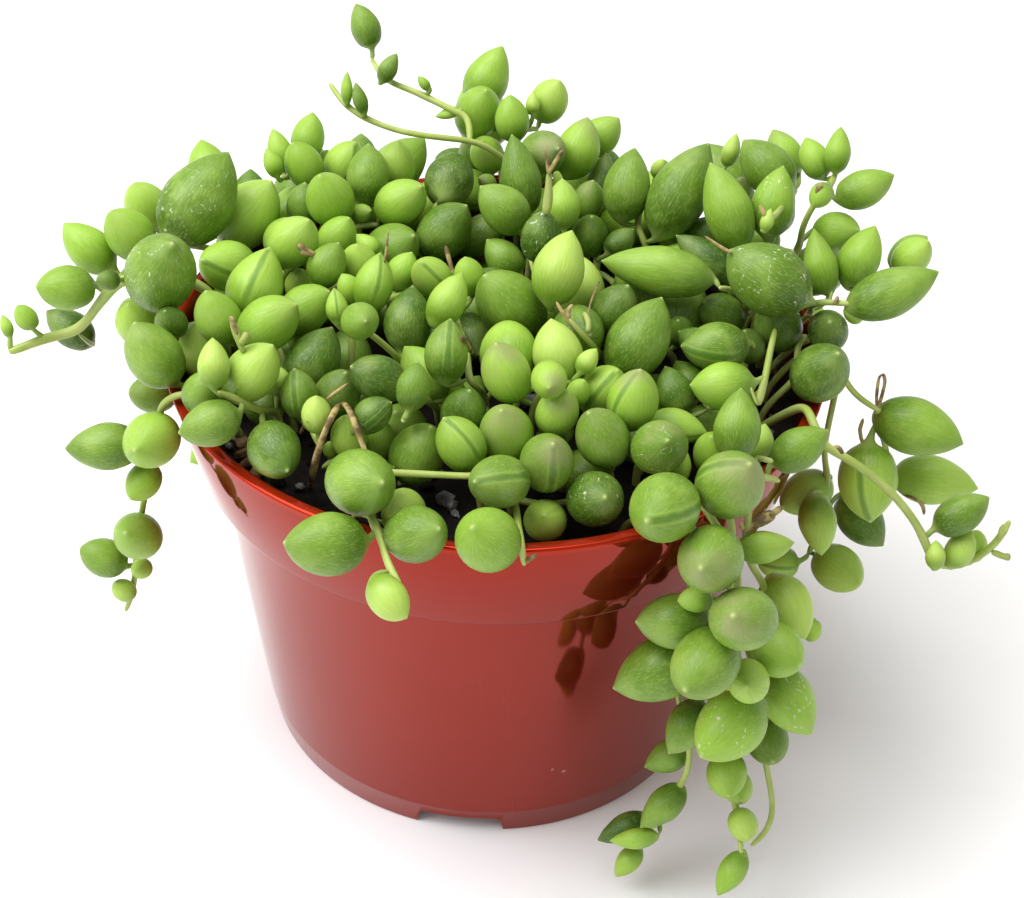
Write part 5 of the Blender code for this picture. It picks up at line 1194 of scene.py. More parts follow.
def stem_finish(look):
    """Thin green stem, ribbed lengthwise, browner where it is old and dry, and darker at a rooted stem's
    start, partly painted shade.
    """
    made, tree, shader = finish("stem_skin", look.green[:])
    x, y, v = attribute_of(tree, "grain")
    dry = attribute_of(tree, "look")[0]
    here = wire(tree, "TexCoord", out=3)
    cloud = grain_of(tree, here, 260.0, 3.0)
    rib = grain_of(tree, wire(tree, "CombineXYZ", {0: times(tree, x, 3.0),
                                                  1: times(tree, y, 3.0),
                                                  2: times(tree, v, 0.35)}), 1.0, 2.0)
    skin = blend_of(tree, ramp_of(tree, cloud, 0.35, 0.65), look.green[:], look.pale[:])
    skin = blend_of(tree, ramp_of(tree, rib, 0.35, 0.7, 0.0, 0.35), skin, look.old[:])
    # dryness, and at a rooted stem's start partly painted shade
    skin = blend_of(tree, times(tree, dry, ramp_of(tree, cloud, 0.25, 0.6, 0.5, 1.0)),
                    skin, look.old[:])
    coat(tree, shader, skin, ramp_of(tree, cloud, 0.3, 0.7, 0.42, 0.62))
    bump_of(tree, shader, rib, 0.4, 0.0001)
    return made


def plastic_finish(look):
    """Moulded glossy plastic, a little wavy, with painted light on the flat top of the lip, dust specks and
    fine scratches.

    Its mirror image is strong and takes on the plastic's red, as in the photograph.
    """
    made, tree, shader = finish("pot_plastic", look.plastic[:])
    here = wire(tree, "TexCoord", out=3)
    z = wire(tree, "SeparateXYZ", {0: here}, out=2)
    cloud = grain_of(tree, here, 35.0, 3.0, 0.5)
    red = blend_of(tree, ramp_of(tree, cloud, 0.3, 0.7), look.plastic[:], look.plastic_worn[:])
    top = look.height
    # painted light: the flat top of the lip is a brighter orange-red, where the light from above falls
    lip = ramp_of(tree, z, top - 0.0016, top - 0.0004)
    red = blend_of(tree, lip, red, look.lip[:])
    red = blend_of(tree, ramp_of(tree, z, 0.0045, 0.0, 0.0, 0.35), red, look.plastic_dark[:])
    speck = wire(tree, "TexVoronoi", {"Vector": here, "Scale": 160.0, "Randomness": 1.0}, out=0)
    few = ramp_of(tree, grain_of(tree, here, 60.0, 1.0), 0.62, 0.66)
    dust = times(tree, ramp_of(tree, speck, 0.09, 0.05), few)
    red = blend_of(tree, times(tree, dust, 0.55), red, look.dust[:])
    drawn_out = wire(tree, "Mapping", {0: here, 2: (0.4, 0.9, 0.2), 3: (400.0, 12.0, 30.0)})
    scratch = grain_of(tree, drawn_out, 1.0, 2.0)
    scratch = reckon(tree, "ABSOLUTE", reckon(tree, "SUBTRACT", scratch, 0.5))
    scratch = times(tree, ramp_of(tree, scratch, 0.004, 0.001),
                    ramp_of(tree, grain_of(tree, here, 45.0, 1.0), 0.60, 0.68))
    red = blend_of(tree, times(tree, scratch, 0.05), red, look.dust[:])
    rough = ramp_of(tree, cloud, 0.3, 0.7, look.roughness * 0.8, look.roughness * 1.3)
    rough = reckon(tree, "ADD", rough, times(tree, dust, 0.4), clamp=True)
    coat(tree, shader, red, rough)
    shader.inputs["IOR"].default_value = PLASTIC_IOR
    shader.inputs["Specular IOR Level"].default_value = PLASTIC_SHINE
    shader.inputs["Specular Tint"].default_value = (*look.gloss, 1.0)
    wave = reckon(tree, "ADD", grain_of(tree, here, 28.0, 1.0),
                  times(tree, grain_of(tree, here, 700.0, 2.0), 0.02))
    bump_of(tree, shader, wave, 0.25, 0.0006)
    return made


def rough_finish(name, light, dark, scale, roughness, depth):
    """A dull natural surface, such as soil, perlite or bark."""
    made, tree, shader = finish(name, light[:])
    here = wire(tree, "TexCoord", out=3)
    coarse = grain_of(tree, here, scale, 4.0, 0.65)
    # darker where the bump is low; on the perlite the two colours are painted light and shade, a lit side and
    # shaded hollows
    coat(tree, shader, blend_of(tree, ramp_of(tree, coarse, 0.35, 0.68), dark[:], light[:]),
         ramp_of(tree, coarse, 0.3, 0.7, roughness, min(1.0, roughness + 0.12)))
    shader.inputs["Specular IOR Level"].default_value = ROUGH_SHINE
    bump_of(tree, shader, coarse, 0.7, depth)
    return made


def floor_finish(look):
    made, tree, shader = finish("paper", look.floor[:])
    cloud = grain_of(tree, wire(tree, "TexCoord", out=3), 3.0, 2.0)
    tree.links.new(blend_of(tree, ramp_of(tree, cloud, 0.3, 0.7), look.floor[:],
                            [min(1.0, c * 1.01) for c in look.floor]), shader.inputs["Base Color"])
    shader.inputs["Roughness"].default_value = FLOOR_DULLNESS
    shader.inputs["Specular IOR Level"].default_value = FLOOR_SHINE
    return made


# Piece helpers

def mesh_from(name, bm):
    """A mesh from a bmesh, which is freed."""
    mesh = bpy.data.meshes.new(name)
    bm.to_mesh(mesh)
    bm.free()
    return mesh


def piece_of(name, bm, surfaces, replaced=(), smooth=True, sharp=None, levels=0):
    """Turns a bmesh into a finished piece that rides with the pot."""
    bmesh.ops.recalc_face_normals(bm, faces=bm.faces)
    mesh = mesh_from(name, bm)
    for surface in surfaces:
        mesh.materials.append(surface)
    if smooth:
        mesh.shade_smooth()
    if sharp is not None:
        mesh.set_sharp_from_angle(angle=math.radians(sharp))
    piece = bpy.data.objects.new(name, mesh)
    bpy.context.scene.collection.objects.link(piece)
    if levels:
        rounding = piece.modifiers.new("rounding", "SUBSURF")
        rounding.levels = rounding.render_levels = levels
        rounding.quality = 2
    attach(piece, "root")
    if replaced:
        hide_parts(*replaced)
    return piece


def kept_shape(values):
    """Cage values whose subdivided surface passes through the given ones."""
    values = np.array(values, float)
    n = len(values)
    system = np.eye(n)
    for k in range(1, n - 1):
        system[k, k - 1:k + 2] = (1 / 6, 4 / 6, 1 / 6)
    return np.linalg.solve(system, values)


def ring_share(sides):
    """How far rounding draws a ring of so many sides in, as a share of its radius."""
    return (4 + 2 * math.cos(2 * math.pi / sides)) / 6


def leaf_form(around):
    """One leaf on its stalk, spun from its outline, as a mesh that each leaf is shaped from.

    x and y are the place around it as a share of the radius, z counts the rings.
    """
    rings = len(STALK_RINGS) + len(BODY_RINGS)
    bm = bmesh.new()
    outline = [bm.verts.new((0.0 if k in (0, rings + 1) else 1.0, 0.0, float(k)))
               for k in range(rings + 2)]
    edges = [bm.edges.new(pair) for pair in zip(outline, outline[1:])]
    bmesh.ops.spin(bm, geom=outline + edges, cent=(0, 0, 0), axis=(0, 0, 1), angle=2 * math.pi,
                   steps=around, use_merge=True)
    bmesh.ops.remove_doubles(bm, verts=bm.verts, dist=1e-5)
    bmesh.ops.recalc_face_normals(bm, faces=bm.faces)
    return mesh_from("leaf_form", bm)


def curve_between(start, start_way, end, end_way, share):
    """A point of the smooth curve between two points that keeps its direction at both."""
    t = share
    reach = length(end - start) * CURVE_REACH
    a, b = start + start_way * reach, end - end_way * reach
    return ((1 - t) ** 3 * start + 3 * (1 - t) ** 2 * t * a + 3 * (1 - t) * t * t * b + t ** 3 * end)


def leaf_course(leaf, joint, stem_way):
    """The middle of each ring of a leaf and its stalk, in mm, and where the ring is along it."""
    base = leaf.c - leaf.axis * leaf.h
    stalk = base - joint
    way = unit(stalk + stem_way * 0.2 * length(stalk) + leaf.axis * 0.15 * length(stalk))
    bend = leaf.bend
    middles = [curve_between(joint, way, base, leaf.axis, 1 + s) for s in (-1.0,) + STALK_RINGS]
    # rounding draws the stalk's closed end in, so it starts a little beyond the stem's middle
    middles[0] = middles[0] - STALK_START * (middles[1] - middles[0])
    shares = [t for t, _ in BODY_RINGS] + [1.0]
    for t in shares:
        along = leaf.axis * 2 * leaf.h * t
        middles.append(base + along + bend * (4 * t * (1 - t) - 0.5 * t * t) * leaf.a)
    return np.array(middles), np.array([0.0] * (1 + len(STALK_RINGS)) + shares)


def shape_leaf(verts, leaf, around, joint, stem_way, look, layers):
    """Moves the verts of a fresh copy of the leaf form to where this leaf is."""
    rng = leaf.rng
    rings = len(STALK_RINGS) + len(BODY_RINGS)
    middles, shares = leaf_course(leaf, joint, stem_way)
    full = 1.0 + FULLNESS * (rng.random() - 0.5)
    slim = np.clip((leaf.h / leaf.a - PLUMPNESS) * 0.5, 0, 0.25)
    stalk = look.stalk_radius / MM * 0.9
    radii = [stalk]
    for t, r in BODY_RINGS:
        if t > 0.5:
            r = r * (1 - slim * (t - 0.44) * 1.2) * full
        wide = r * leaf.a * look.swell
        radii.append(max(wide, stalk) if t < 0.3 else wide)
    spread = [0.0, 0.1] + [r for _, r in BODY_RINGS] + [0.0]
    radii = kept_shape([0.0] + radii + [0.0])[1:-1] / ring_share(around)
    radii = [0.0] + list(np.maximum(radii, 0.02)) + [0.0]
    middles = np.stack([kept_shape(middles[:, k]) for k in range(3)], 1)
    ways = [unit(middles[min(k + 1, rings + 1)] - middles[max(k - 1, 0)]) for k in range(rings + 2)]
    # the side that the eye sees, turned by the leaf's own angle, is where the window runs
    side = unit(EYE - leaf.c)
    side = unit(side - leaf.axis * (side * leaf.axis).sum())
    other = np.cross(leaf.axis, side)
    side = side * math.cos(leaf.turn) + other * math.sin(leaf.turn)
    flat = 1.0 - FLATNESS * rng.random()
    lobes = UNROUND * rng.random()
    lobe_at = rng.random() * ANY_TURN
    for vert in verts:
        k = int(round(vert.co.z))
        angle = math.atan2(vert.co.y, vert.co.x)
        one, two = cross_frame(ways[k], side)
        r = radii[k] * (1 + lobes * math.cos(2 * angle + lobe_at) * (k > len(STALK_RINGS)))
        here = middles[k] + (one * math.cos(angle) + two * math.sin(angle) * flat) * r
        tip = k in (0, rings + 1)
        x, y = (0.0, 0.0) if tip else (math.cos(angle), math.sin(angle))
        vert[layers["grain"]] = (x, y, shares[k])
        vert[layers["look"]] = (leaf.tone, leaf.window, leaf.bloom)
        vert[layers["marks"]] = (0.0, leaf.own, spread[k])
        vert.co = here * MM


def dress_leaf(leaf):
    """What makes one leaf differ from the next: its green, partly painted light and shade, and its window,
    bloom, scuffs and bend.
    """
    rng = leaf.rng
    at = leaf.seen_at
    leaf.own = rng.random()
    leaf.tone = drawn_from(PLAIN_TONE, rng) + SMALL_LIFT * (leaf.a < SMALL_LEAF)
    # painted shade: an inner leaf deep among the strands takes a low tone, lifted out of it over the side of
    # the pot
    if leaf.inner:
        leaf.tone = drawn_from(INNER_SHADE_TONE, rng)
        if math.hypot(leaf.c[0], leaf.c[1]) > OUTER_REACH:
            leaf.tone += OUTER_LIFT
    leaf.bloom = PLAIN_BLOOM * rng.random() ** 2
    leaf.window = PLAIN_WINDOW * rng.random()
    leaf.turn = math.radians(drawn_from(WINDOW_TURN, rng))
    side = np.cross(leaf.axis, unit(EYE - leaf.c))
    leaf.bend = unit(side * (rng.random() - 0.5) + np.array([0, 0, LEAF_DROOP])) * LEAF_BEND
    leaf.bend = leaf.bend - leaf.axis * (leaf.bend * leaf.axis).sum()
    if at in STRIPED:
        leaf.window, leaf.turn = 1.0, math.radians(STRIPED[at])
    # the marked sets give the leaf's own green together with painted light and shade
    for marked, tones in MARKED_TONES:
        if at in marked:
            leaf.tone = drawn_from(tones, rng)
    if at in YOUNG_AND_LIT:
        leaf.bloom = 0.0
    if at in BLOOMED:
        leaf.bloom = MARKED_BLOOM
    leaf.scuffed = at in SCUFFED


def stem_course(stem):
    """A stem's nodes, evened out a little between its fixed ends."""
    p = stem.p.copy()
    p[1:-1] = 0.5 * p[1:-1] + 0.25 * (p[:-2] + p[2:])
    return p


def sweep(bm, centres, radii, sides, layers=None, dry=(0.0, 0.0), surface=1):
    """Extrudes a round outline along its centres and closes both ends. Lengths are millimetres."""
    made = bmesh.ops.create_circle(bm, cap_ends=True, radius=1.0, segments=sides)
    cap = made["verts"][0].link_faces[0]
    shrink = ring_share(sides)
    frame = None
    rows = []
    centres = [np.array(c, float) for c in centres]
    # rounding draws closed ends in
    centres[0] = centres[0] + END_START * (centres[0] - centres[1])
    centres[-1] = centres[-1] + END_START * (centres[-1] - centres[-2])
    for k, (centre, radius) in enumerate(zip(centres, radii)):
        if k:
            cap = bmesh.ops.extrude_discrete_faces(bm, faces=[cap])["faces"][0]
        ahead = centres[min(k + 1, len(centres) - 1)] - centres[max(k - 1, 0)]
        one, two = cross_frame(unit(ahead), frame)
        frame = one
        for n, vert in enumerate(cap.verts):
            angle = 2 * math.pi * n / sides
            vert.co = (centre + (one * math.cos(angle) + two * math.sin(angle)) * radius / shrink) * MM
            if layers:
                share = k / max(1, len(centres) - 1)
                vert[layers["grain"]] = (math.cos(angle), math.sin(angle), k * 1.0)
                vert[layers["look"]] = (dry[0] + (dry[1] - dry[0]) * share, 0.0, 0.0)
        rows.append(list(cap.verts))
    rim = {e for v in rows[0] for e in v.link_edges if e.is_boundary}
    bmesh.ops.holes_fill(bm, edges=list(rim))
    for face in set(f for row in rows for v in row for f in v.link_faces):
        face.material_index = surface
    return rows


def leafy_strand(strand, name, forms, surfaces, leaf_look, stem_look):
    """A strand with all its leaves, as one piece in place of its node."""
    all_grown = grown()
    bm = bmesh.new()
    layers = {key: bm.verts.layers.float_vector.new(key) for key in ("grain", "look", "marks")}
    courses = {}
    main_course = None
    mine = [leaf for leaf in all_grown.leaves if leaf.strand == strand]
    for stem in all_grown.stems:
        if stem.strand != strand:
            continue
        course = stem_course(stem)
        if stem.rooted:
            main_course = course
        else:
            start = nearest_on(main_course, course[0])
            course = np.concatenate([start[None], course])
        courses[id(stem)] = (stem, course, 0 if stem.rooted else 1)
    for stem, course, shift in courses.values():
        radii = stem_look.radius / MM * np.linspace(1.0, STEM_THINNING, len(course))
        radii = radii * STEM_SIZES.get(name, 1.0)
        for leaf in mine:
            if all_grown.stems[leaf.stem] is stem:
                radii[min(leaf.node + shift, len(radii) - 1)] *= NODE_SWELLING
        radii[-1] *= LAST_NODE
        leafless = not stem.rooted and not any(all_grown.stems[leaf.stem] is stem for leaf in mine)
        bare = leafless and course[:, 2].mean() < POT_HEIGHT - BARE_DROP
        if bare:
            radii *= np.linspace(*BARE_THINNING, len(radii))
        # a rooted stem starts darker, partly as painted shade
        old = LEAFLESS_AGE if leafless and not bare else ROOTED_AGE_AND_SHADE if stem.rooted else SIDE_AGE
        sweep(bm, course, radii, STEM_AROUND, layers, (old, BARE_END if bare else GREEN_END))
    for leaf in mine:
        dress_leaf(leaf)
        stem, course, shift = courses[id(all_grown.stems[leaf.stem])]
        k = min(leaf.node + shift, len(course) - 1)
        way = unit(course[min(k + 1, len(course) - 1)] - course[max(k - 1, 0)])
        count = len(bm.verts)
        around = INNER_AROUND if leaf.inner else LEAF_AROUND
        bm.from_mesh(forms[around])
        bm.verts.ensure_lookup_table()
        shape_leaf(bm.verts[count:], leaf, around, course[k], way, leaf_look, layers)
        if leaf.scuffed:
            for face in {face for vert in bm.verts[count:] for face in vert.link_faces}:
                face.material_index = 2
    if not any(leaf.scuffed for leaf in mine):
        surfaces = surfaces[:2]
    return piece_of(f"leafy_{name}", bm, surfaces, [f"strand_{name}"], levels=leaf_look.rounding)


# Pot

POT_SEGMENTS = 144
SOIL_SEGMENTS = 110
# The corners of the wall that are rounded, each with its width in mm and its segments
CORNER_ROUNDING = (("rim", 0.55, 4), ("lip", 0.5, 3), ("collar", 0.7, 4), ("step", 0.6, 3),
                   ("foot", 0.35, 2), ("line", 0.2, 2))
COLLAR_WALL = 1.6
STEP_RISE, STEP_DROP = 1.4, 0.6
FOOT_INSET = 0.3
LINE_RISE = 0.5
OUT_OF_ROUND = 0.0016
SHARP_ANGLE = 38
DRAIN_SEGMENTS, DRAIN_CUT = 24, 6
NOTCH_REACH, NOTCH_ROUNDING, NOTCH_SEGMENTS = 4.0, 0.7, 3


def spun(section, segments):
    """A bmesh spun about the pot's axis from a section (radius mm, height mm)."""
    bm = bmesh.new()
    verts = [bm.verts.new((r * MM, 0, z * MM)) for r, z in section]
    edges = [bm.edges.new(pair) for pair in zip(verts, verts[1:])]
    if section[0][0] > 0:
        edges.append(bm.edges.new((verts[-1], verts[0])))
    bmesh.ops.spin(bm, geom=verts + edges, cent=(0, 0, 0), axis=(0, 0, 1), angle=2 * math.pi,
                   steps=segments, use_merge=True)
    bmesh.ops.remove_doubles(bm, verts=bm.verts, dist=1e-7)
    return bm


def round_off(bm, corner, width, segments):
    """Bevels the ring of edges at one corner of a spun section."""
    r, z = corner[0] * MM, corner[1] * MM
    ring = [e for e in bm.edges if all(abs(v.co.z - z) < 1e-6 and abs(v.co.xy.length - r) < 1e-6
                                       for v in e.verts)]
    bmesh.ops.bevel(bm, geom=ring, offset=width * MM, offset_type="OFFSET", affect="EDGES",
                    segments=segments, profile=0.5, material=-1)


def wall_radius(z):
    """The outer radius of the wall below the collar."""
    return FOOT_RADIUS + z * (STEP_RADIUS - FOOT_RADIUS) / (POT_HEIGHT - COLLAR_DROP)


def pot_piece(look):
    """The pot: collar, step, tapered wall, foot line, foot notches and drain holes."""
    top, step_z = look.height / MM, (look.height - look.collar_drop) / MM
    rim, lip = look.rim_radius / MM, look.lip_width / MM
    wall = look.wall / MM
    line_z = FOOT_LINE_HEIGHT
    floor_top = FLOOR_UNDERSIDE + wall
    corners = {
        "rim": (rim, top), "lip": (rim - lip, top), "collar": (COLLAR_FOOT_RADIUS, step_z),
        "step": (STEP_RADIUS, step_z), "foot": (FOOT_RADIUS, 0),
        "line": (wall_radius(line_z) + FOOT_LINE_STEP, line_z + LINE_RISE)}
    section = [
        (0, FLOOR_UNDERSIDE), (FOOT_RADIUS - wall - FOOT_INSET, FLOOR_UNDERSIDE), (FOOT_RADIUS - wall, 0),
        corners["foot"], (wall_radius(line_z), line_z), corners["line"], corners["step"],
        corners["collar"], corners["rim"], corners["lip"],
        (COLLAR_FOOT_RADIUS - COLLAR_WALL, step_z + STEP_RISE), (STEP_RADIUS - wall, step_z - STEP_DROP),
        (wall_radius(floor_top) - wall, floor_top), (0, floor_top)]
    bm = spun(section, POT_SEGMENTS)
    for corner, width, segments in CORNER_ROUNDING:
        round_off(bm, corners[corner], width, segments)
    for vert in bm.verts:
        # thin walls are never quite round
        azimuth = math.atan2(vert.co.y, vert.co.x)
        sway = 1 - OUT_OF_ROUND * (1 + math.cos(3 * azimuth + 1.1)) * vert.co.z / look.height
        vert.co.x *= sway
        vert.co.y *= sway
    piece = piece_of("pot_shell", bm, [plastic_finish(look)], ["pot"])
    cutters = bpy.data.collections.new("pot_cutters")
    bpy.context.scene.collection.children.link(cutters)
    for k in range(NOTCH_COUNT):
        cut_notch(NOTCH_AZIMUTH + 2 * math.pi * k / NOTCH_COUNT, cutters)
    for k in range(DRAIN_COUNT):
        azimuth = NOTCH_AZIMUTH + 2 * math.pi * (k + 0.5) / DRAIN_COUNT
        drain = bmesh.new()
        bmesh.ops.create_cone(drain, cap_ends=True, segments=DRAIN_SEGMENTS,
                              radius1=DRAIN_RADIUS * MM, radius2=DRAIN_RADIUS * MM,
                              depth=DRAIN_CUT * MM)
        at = (DRAIN_CIRCLE * math.cos(azimuth), DRAIN_CIRCLE * math.sin(azimuth), floor_top)
        bmesh.ops.translate(drain, verts=drain.verts, vec=[v * MM for v in at])
        cutter_of(drain, cutters)
    difference = piece.modifiers.new("cut", "BOOLEAN")
    difference.operation, difference.operand_type = "DIFFERENCE", "COLLECTION"
    difference.collection, difference.solver = cutters, "EXACT"
    graph = bpy.context.evaluated_depsgraph_get()
    left = bpy.data.meshes.new_from_object(piece.evaluated_get(graph))
    piece.modifiers.clear()
    piece.data = left
    for other in list(cutters.objects):
        bpy.data.objects.remove(other)
    bpy.data.collections.remove(cutters)
    left.shade_smooth()
    left.set_sharp_from_angle(angle=math.radians(SHARP_ANGLE))
    return piece


def cutter_of(bm, collection):
    bmesh.ops.recalc_face_normals(bm, faces=bm.faces)
    if bm.calc_volume(signed=True) < 0:
        bmesh.ops.reverse_faces(bm, faces=bm.faces)
    thing = bpy.data.objects.new("cutter", mesh_from("cutter", bm))
    thing.hide_render = True
    collection.objects.link(thing)


def cut_notch(azimuth, collection):
    """A wedge through the foot ring, a little narrower at its top, with rounded upper corners."""
    bm = bmesh.new()
    bmesh.ops.create_cube(bm, size=1.0)
    for vert in bm.verts:
        width = NOTCH_WIDTH if vert.co.z < 0 else NOTCH_TOP_WIDTH
        across = math.copysign(width / 2, vert.co.y)
        out = FOOT_RADIUS + math.copysign(NOTCH_REACH, vert.co.x)
        z = -1.0 if vert.co.z < 0 else NOTCH_HEIGHT
        vert.co = (out * MM, across * MM, z * MM)
    upper = [e for e in bm.edges if all(v.co.z > 0 for v in e.verts)
             and abs(e.verts[0].co.y - e.verts[1].co.y) < 1e-6]
    bmesh.ops.bevel(bm, geom=upper, offset=NOTCH_ROUNDING * MM, offset_type="OFFSET", affect="EDGES",
                    segments=NOTCH_SEGMENTS, profile=0.5, material=-1)
    bmesh.ops.rotate(bm, verts=bm.verts, cent=(0, 0, 0), matrix=Matrix.Rotation(azimuth, 3, "Z"))
    cutter_of(bm, collection)


# Soil

SOIL_SEED = 5
CRUMB_ANGLE = 50
# Where the rings of the soil's top lie, as shares of its radius
CROWN_RINGS = (0.97, 0.93, 0.88, 0.83, 0.78, 0.73, 0.68, 0.62, 0.56, 0.5, 0.43, 0.36, 0.28, 0.2, 0.1)
# Least sizes and, but for crumbs, largest sizes of the grains, in mm
CRUMB_LEAST, PERLITE_SIZES, BARK_SIZES = 0.5, (0.6, 1.7), (0.9, 2.0)
BARK_LENGTH, BARK_LUMP_LENGTH = 2.2, 1.6
LUMP_RISE = 0.7


def soil_piece(look):
    """The soil: a crumbly top that sinks a little at the wall, with crumbs, perlite and bark."""
    step_z = POT_HEIGHT - COLLAR_DROP
    floor = FLOOR_UNDERSIDE + WALL + 0.2
    gap = WALL + 0.15
    collar = COLLAR_FOOT_RADIUS - COLLAR_WALL - 0.2
    top_share = (SOIL_TOP - step_z - STEP_RISE) / (POT_HEIGHT - step_z - STEP_RISE)
    top_radius = collar + top_share * (RIM_RADIUS - LIP_WIDTH - COLLAR_FOOT_RADIUS + COLLAR_WALL)
    crown = [(top_radius * s, SOIL_TOP - 0.6 + 1.1 * (1 - s * s)) for s in CROWN_RINGS]
    section = [(0, floor), (wall_radius(floor) - gap, floor), (STEP_RADIUS - gap, step_z - STEP_DROP),
               (collar, step_z + STEP_RISE), (top_radius, SOIL_TOP - 0.9)] + crown + [(0, SOIL_TOP + 0.5)]
    bm = spun(section, SOIL_SEGMENTS)
    for vert in bm.verts:
        if vert.co.z > (SOIL_TOP - 0.8) * MM:
            lump = noise.noise(vert.co * 260) * 0.7 + noise.noise(vert.co * 620) * 0.5
            vert.co.z += lump * MM
            vert.co.x += 0.35 * MM * noise.noise(vert.co * 500 + Vector((7, 0, 0)))
            vert.co.y += 0.35 * MM * noise.noise(vert.co * 500 + Vector((0, 9, 0)))
    rng = np.random.default_rng(SOIL_SEED)
    scatter_crumbs(bm, look.crumbs, (CRUMB_LEAST, look.crumb_size / MM), 0, top_radius, rng)
    scatter_crumbs(bm, look.perlite, PERLITE_SIZES, 1, top_radius, rng)
    scatter_crumbs(bm, look.bark, BARK_SIZES, 2, top_radius, rng, long=BARK_LENGTH)
    for x, y, wide, surface in LUMPS:
        way = ray_at(x, y)
        at = EYE + way * ((SOIL_TOP + LUMP_RISE - EYE[2]) / way[2])
        if math.hypot(at[0], at[1]) < top_radius - 0.6 * wide:
            crumb_at(bm, at, wide, surface, rng, BARK_LUMP_LENGTH if surface == 2 else 1.0)
    # the perlite's two colours are painted light and shade
    surfaces = [rough_finish("soil_crumb", look.soil, look.soil_dark, 700.0, 0.86, 0.0004),
                rough_finish("perlite", look.perlite_lit_in_shade, look.perlite_shaded_hollow, 900.0, 0.8, 0.0003),
                rough_finish("bark", look.bark_tan, look.bark_brown, 500.0, 0.75, 0.0003)]
    return piece_of("soil_body", bm, surfaces, ["soil"], sharp=CRUMB_ANGLE)


def scatter_crumbs(bm, count, sizes, surface, reach, rng, long=1.0):
    """Small uneven lumps that lie half sunk in the soil's top."""
    for _ in range(count):
        r = reach * 0.98 * math.sqrt(rng.random())
        azimuth = rng.random() * 2 * math.pi
        size = sizes[0] + (sizes[1] - sizes[0]) * rng.random() ** 2.2
        z = SOIL_TOP - 0.4 + 1.0 * (1 - (r / reach) ** 2) + 0.2 * size
        crumb_at(bm, (r * math.cos(azimuth), r * math.sin(azimuth), z), size, surface, rng, long)


def crumb_at(bm, at, size, surface, rng, long):
    """One uneven lump of a size in mm."""
    lump = bmesh.ops.create_icosphere(bm, subdivisions=1, radius=0.5 * size * MM)["verts"]
    bmesh.ops.scale(bm, verts=lump, vec=(long, 0.7 + 0.5 * rng.random(), 0.6 + 0.4 * rng.random()))
    for vert in lump:
        vert.co *= 0.78 + 0.44 * rng.random()
    turn = Matrix.Rotation(rng.random() * ANY_TURN, 3, "Z") @ Matrix.Rotation(rng.random() - 0.5, 3, "X")
    bmesh.ops.rotate(bm, verts=lump, cent=(0, 0, 0), matrix=turn)
    bmesh.ops.translate(bm, verts=lump, vec=[v * MM for v in at])
    for face in {f for v in lump for f in v.link_faces}:
        face.material_index = surface


# Dried bits

# The wall is looked for on a line of sight from this far nearer than the middle of the pot's foot
# to this far beyond it, in steps, in mm. The collar is taken to lean in by this share of its drop.
HIT_BEFORE, HIT_BEHIND, HIT_STEP = 90, 60, 0.25
COLLAR_LEAN = 0.08
# How far inside what holds it a bit starts, in mm, and how far before the rest it stays, as a
# share of its radius, and the same for the twig in mm
BIT_INSET, BIT_CLEARANCE, TWIG_CLEARANCE = 0.3, 0.6, 0.3
BIT_THINNING, BIT_UNEVEN = 0.8, 0.18
TWIG_RADII, TWIG_UNEVEN = (0.52, 0.40), 0.16


def ray_at(x, y):
    """The direction from the camera through a pixel of the photograph."""
    right, up, back = CAMERA_AXES
    return unit(right * (x - PHOTO_CENTRE[0]) / FOCAL_PX - up * (y - PHOTO_CENTRE[1]) / FOCAL_PX - back)


def first_hit(x, y):
    """How far from the eye the first leaf, stem or wall shows at a pixel, or None."""
    way = ray_at(x, y)
    balls, radii = grown().balls
    along, off = from_line(balls, EYE, way)
    met = off < radii
    hits = list(along[met] - np.sqrt(radii[met] ** 2 - off[met] ** 2))
    for reach in np.arange(length(EYE) - HIT_BEFORE, length(EYE) + HIT_BEHIND, HIT_STEP):
        at = EYE + way * reach
        r = math.hypot(at[0], at[1])
        if 0 < at[2] < POT_HEIGHT and r < (wall_radius(at[2]) if at[2] < POT_HEIGHT - COLLAR_DROP
                                           else RIM_RADIUS - COLLAR_LEAN * (POT_HEIGHT - at[2])):
            hits.append(reach)
            break
    return min(hits) if hits else None


def bit_course(points, radius):
    """A dried bit's middle: it leaves what shows at its first pixel and stays clear of the rest."""
    start = first_hit(*points[0])
    course = []
    if start is None:
        balls, radii = grown().balls
        along, off = from_line(balls, EYE, ray_at(*points[0]))
        nearest = (off - radii).argmin()
        start = along[nearest]
        course = [balls[nearest]]
    for k, (x, y) in enumerate(points):
        hit = first_hit(x, y)
        reach = start + BIT_INSET
        if hit is not None and k:
            reach = min(reach, hit - BIT_CLEARANCE * radius)
        course.append(EYE + ray_at(x, y) * reach)
    balls, radii = grown().balls
    Grown.balls = np.concatenate([balls, course]), np.concatenate([radii, [radius] * len(course)])
    return course


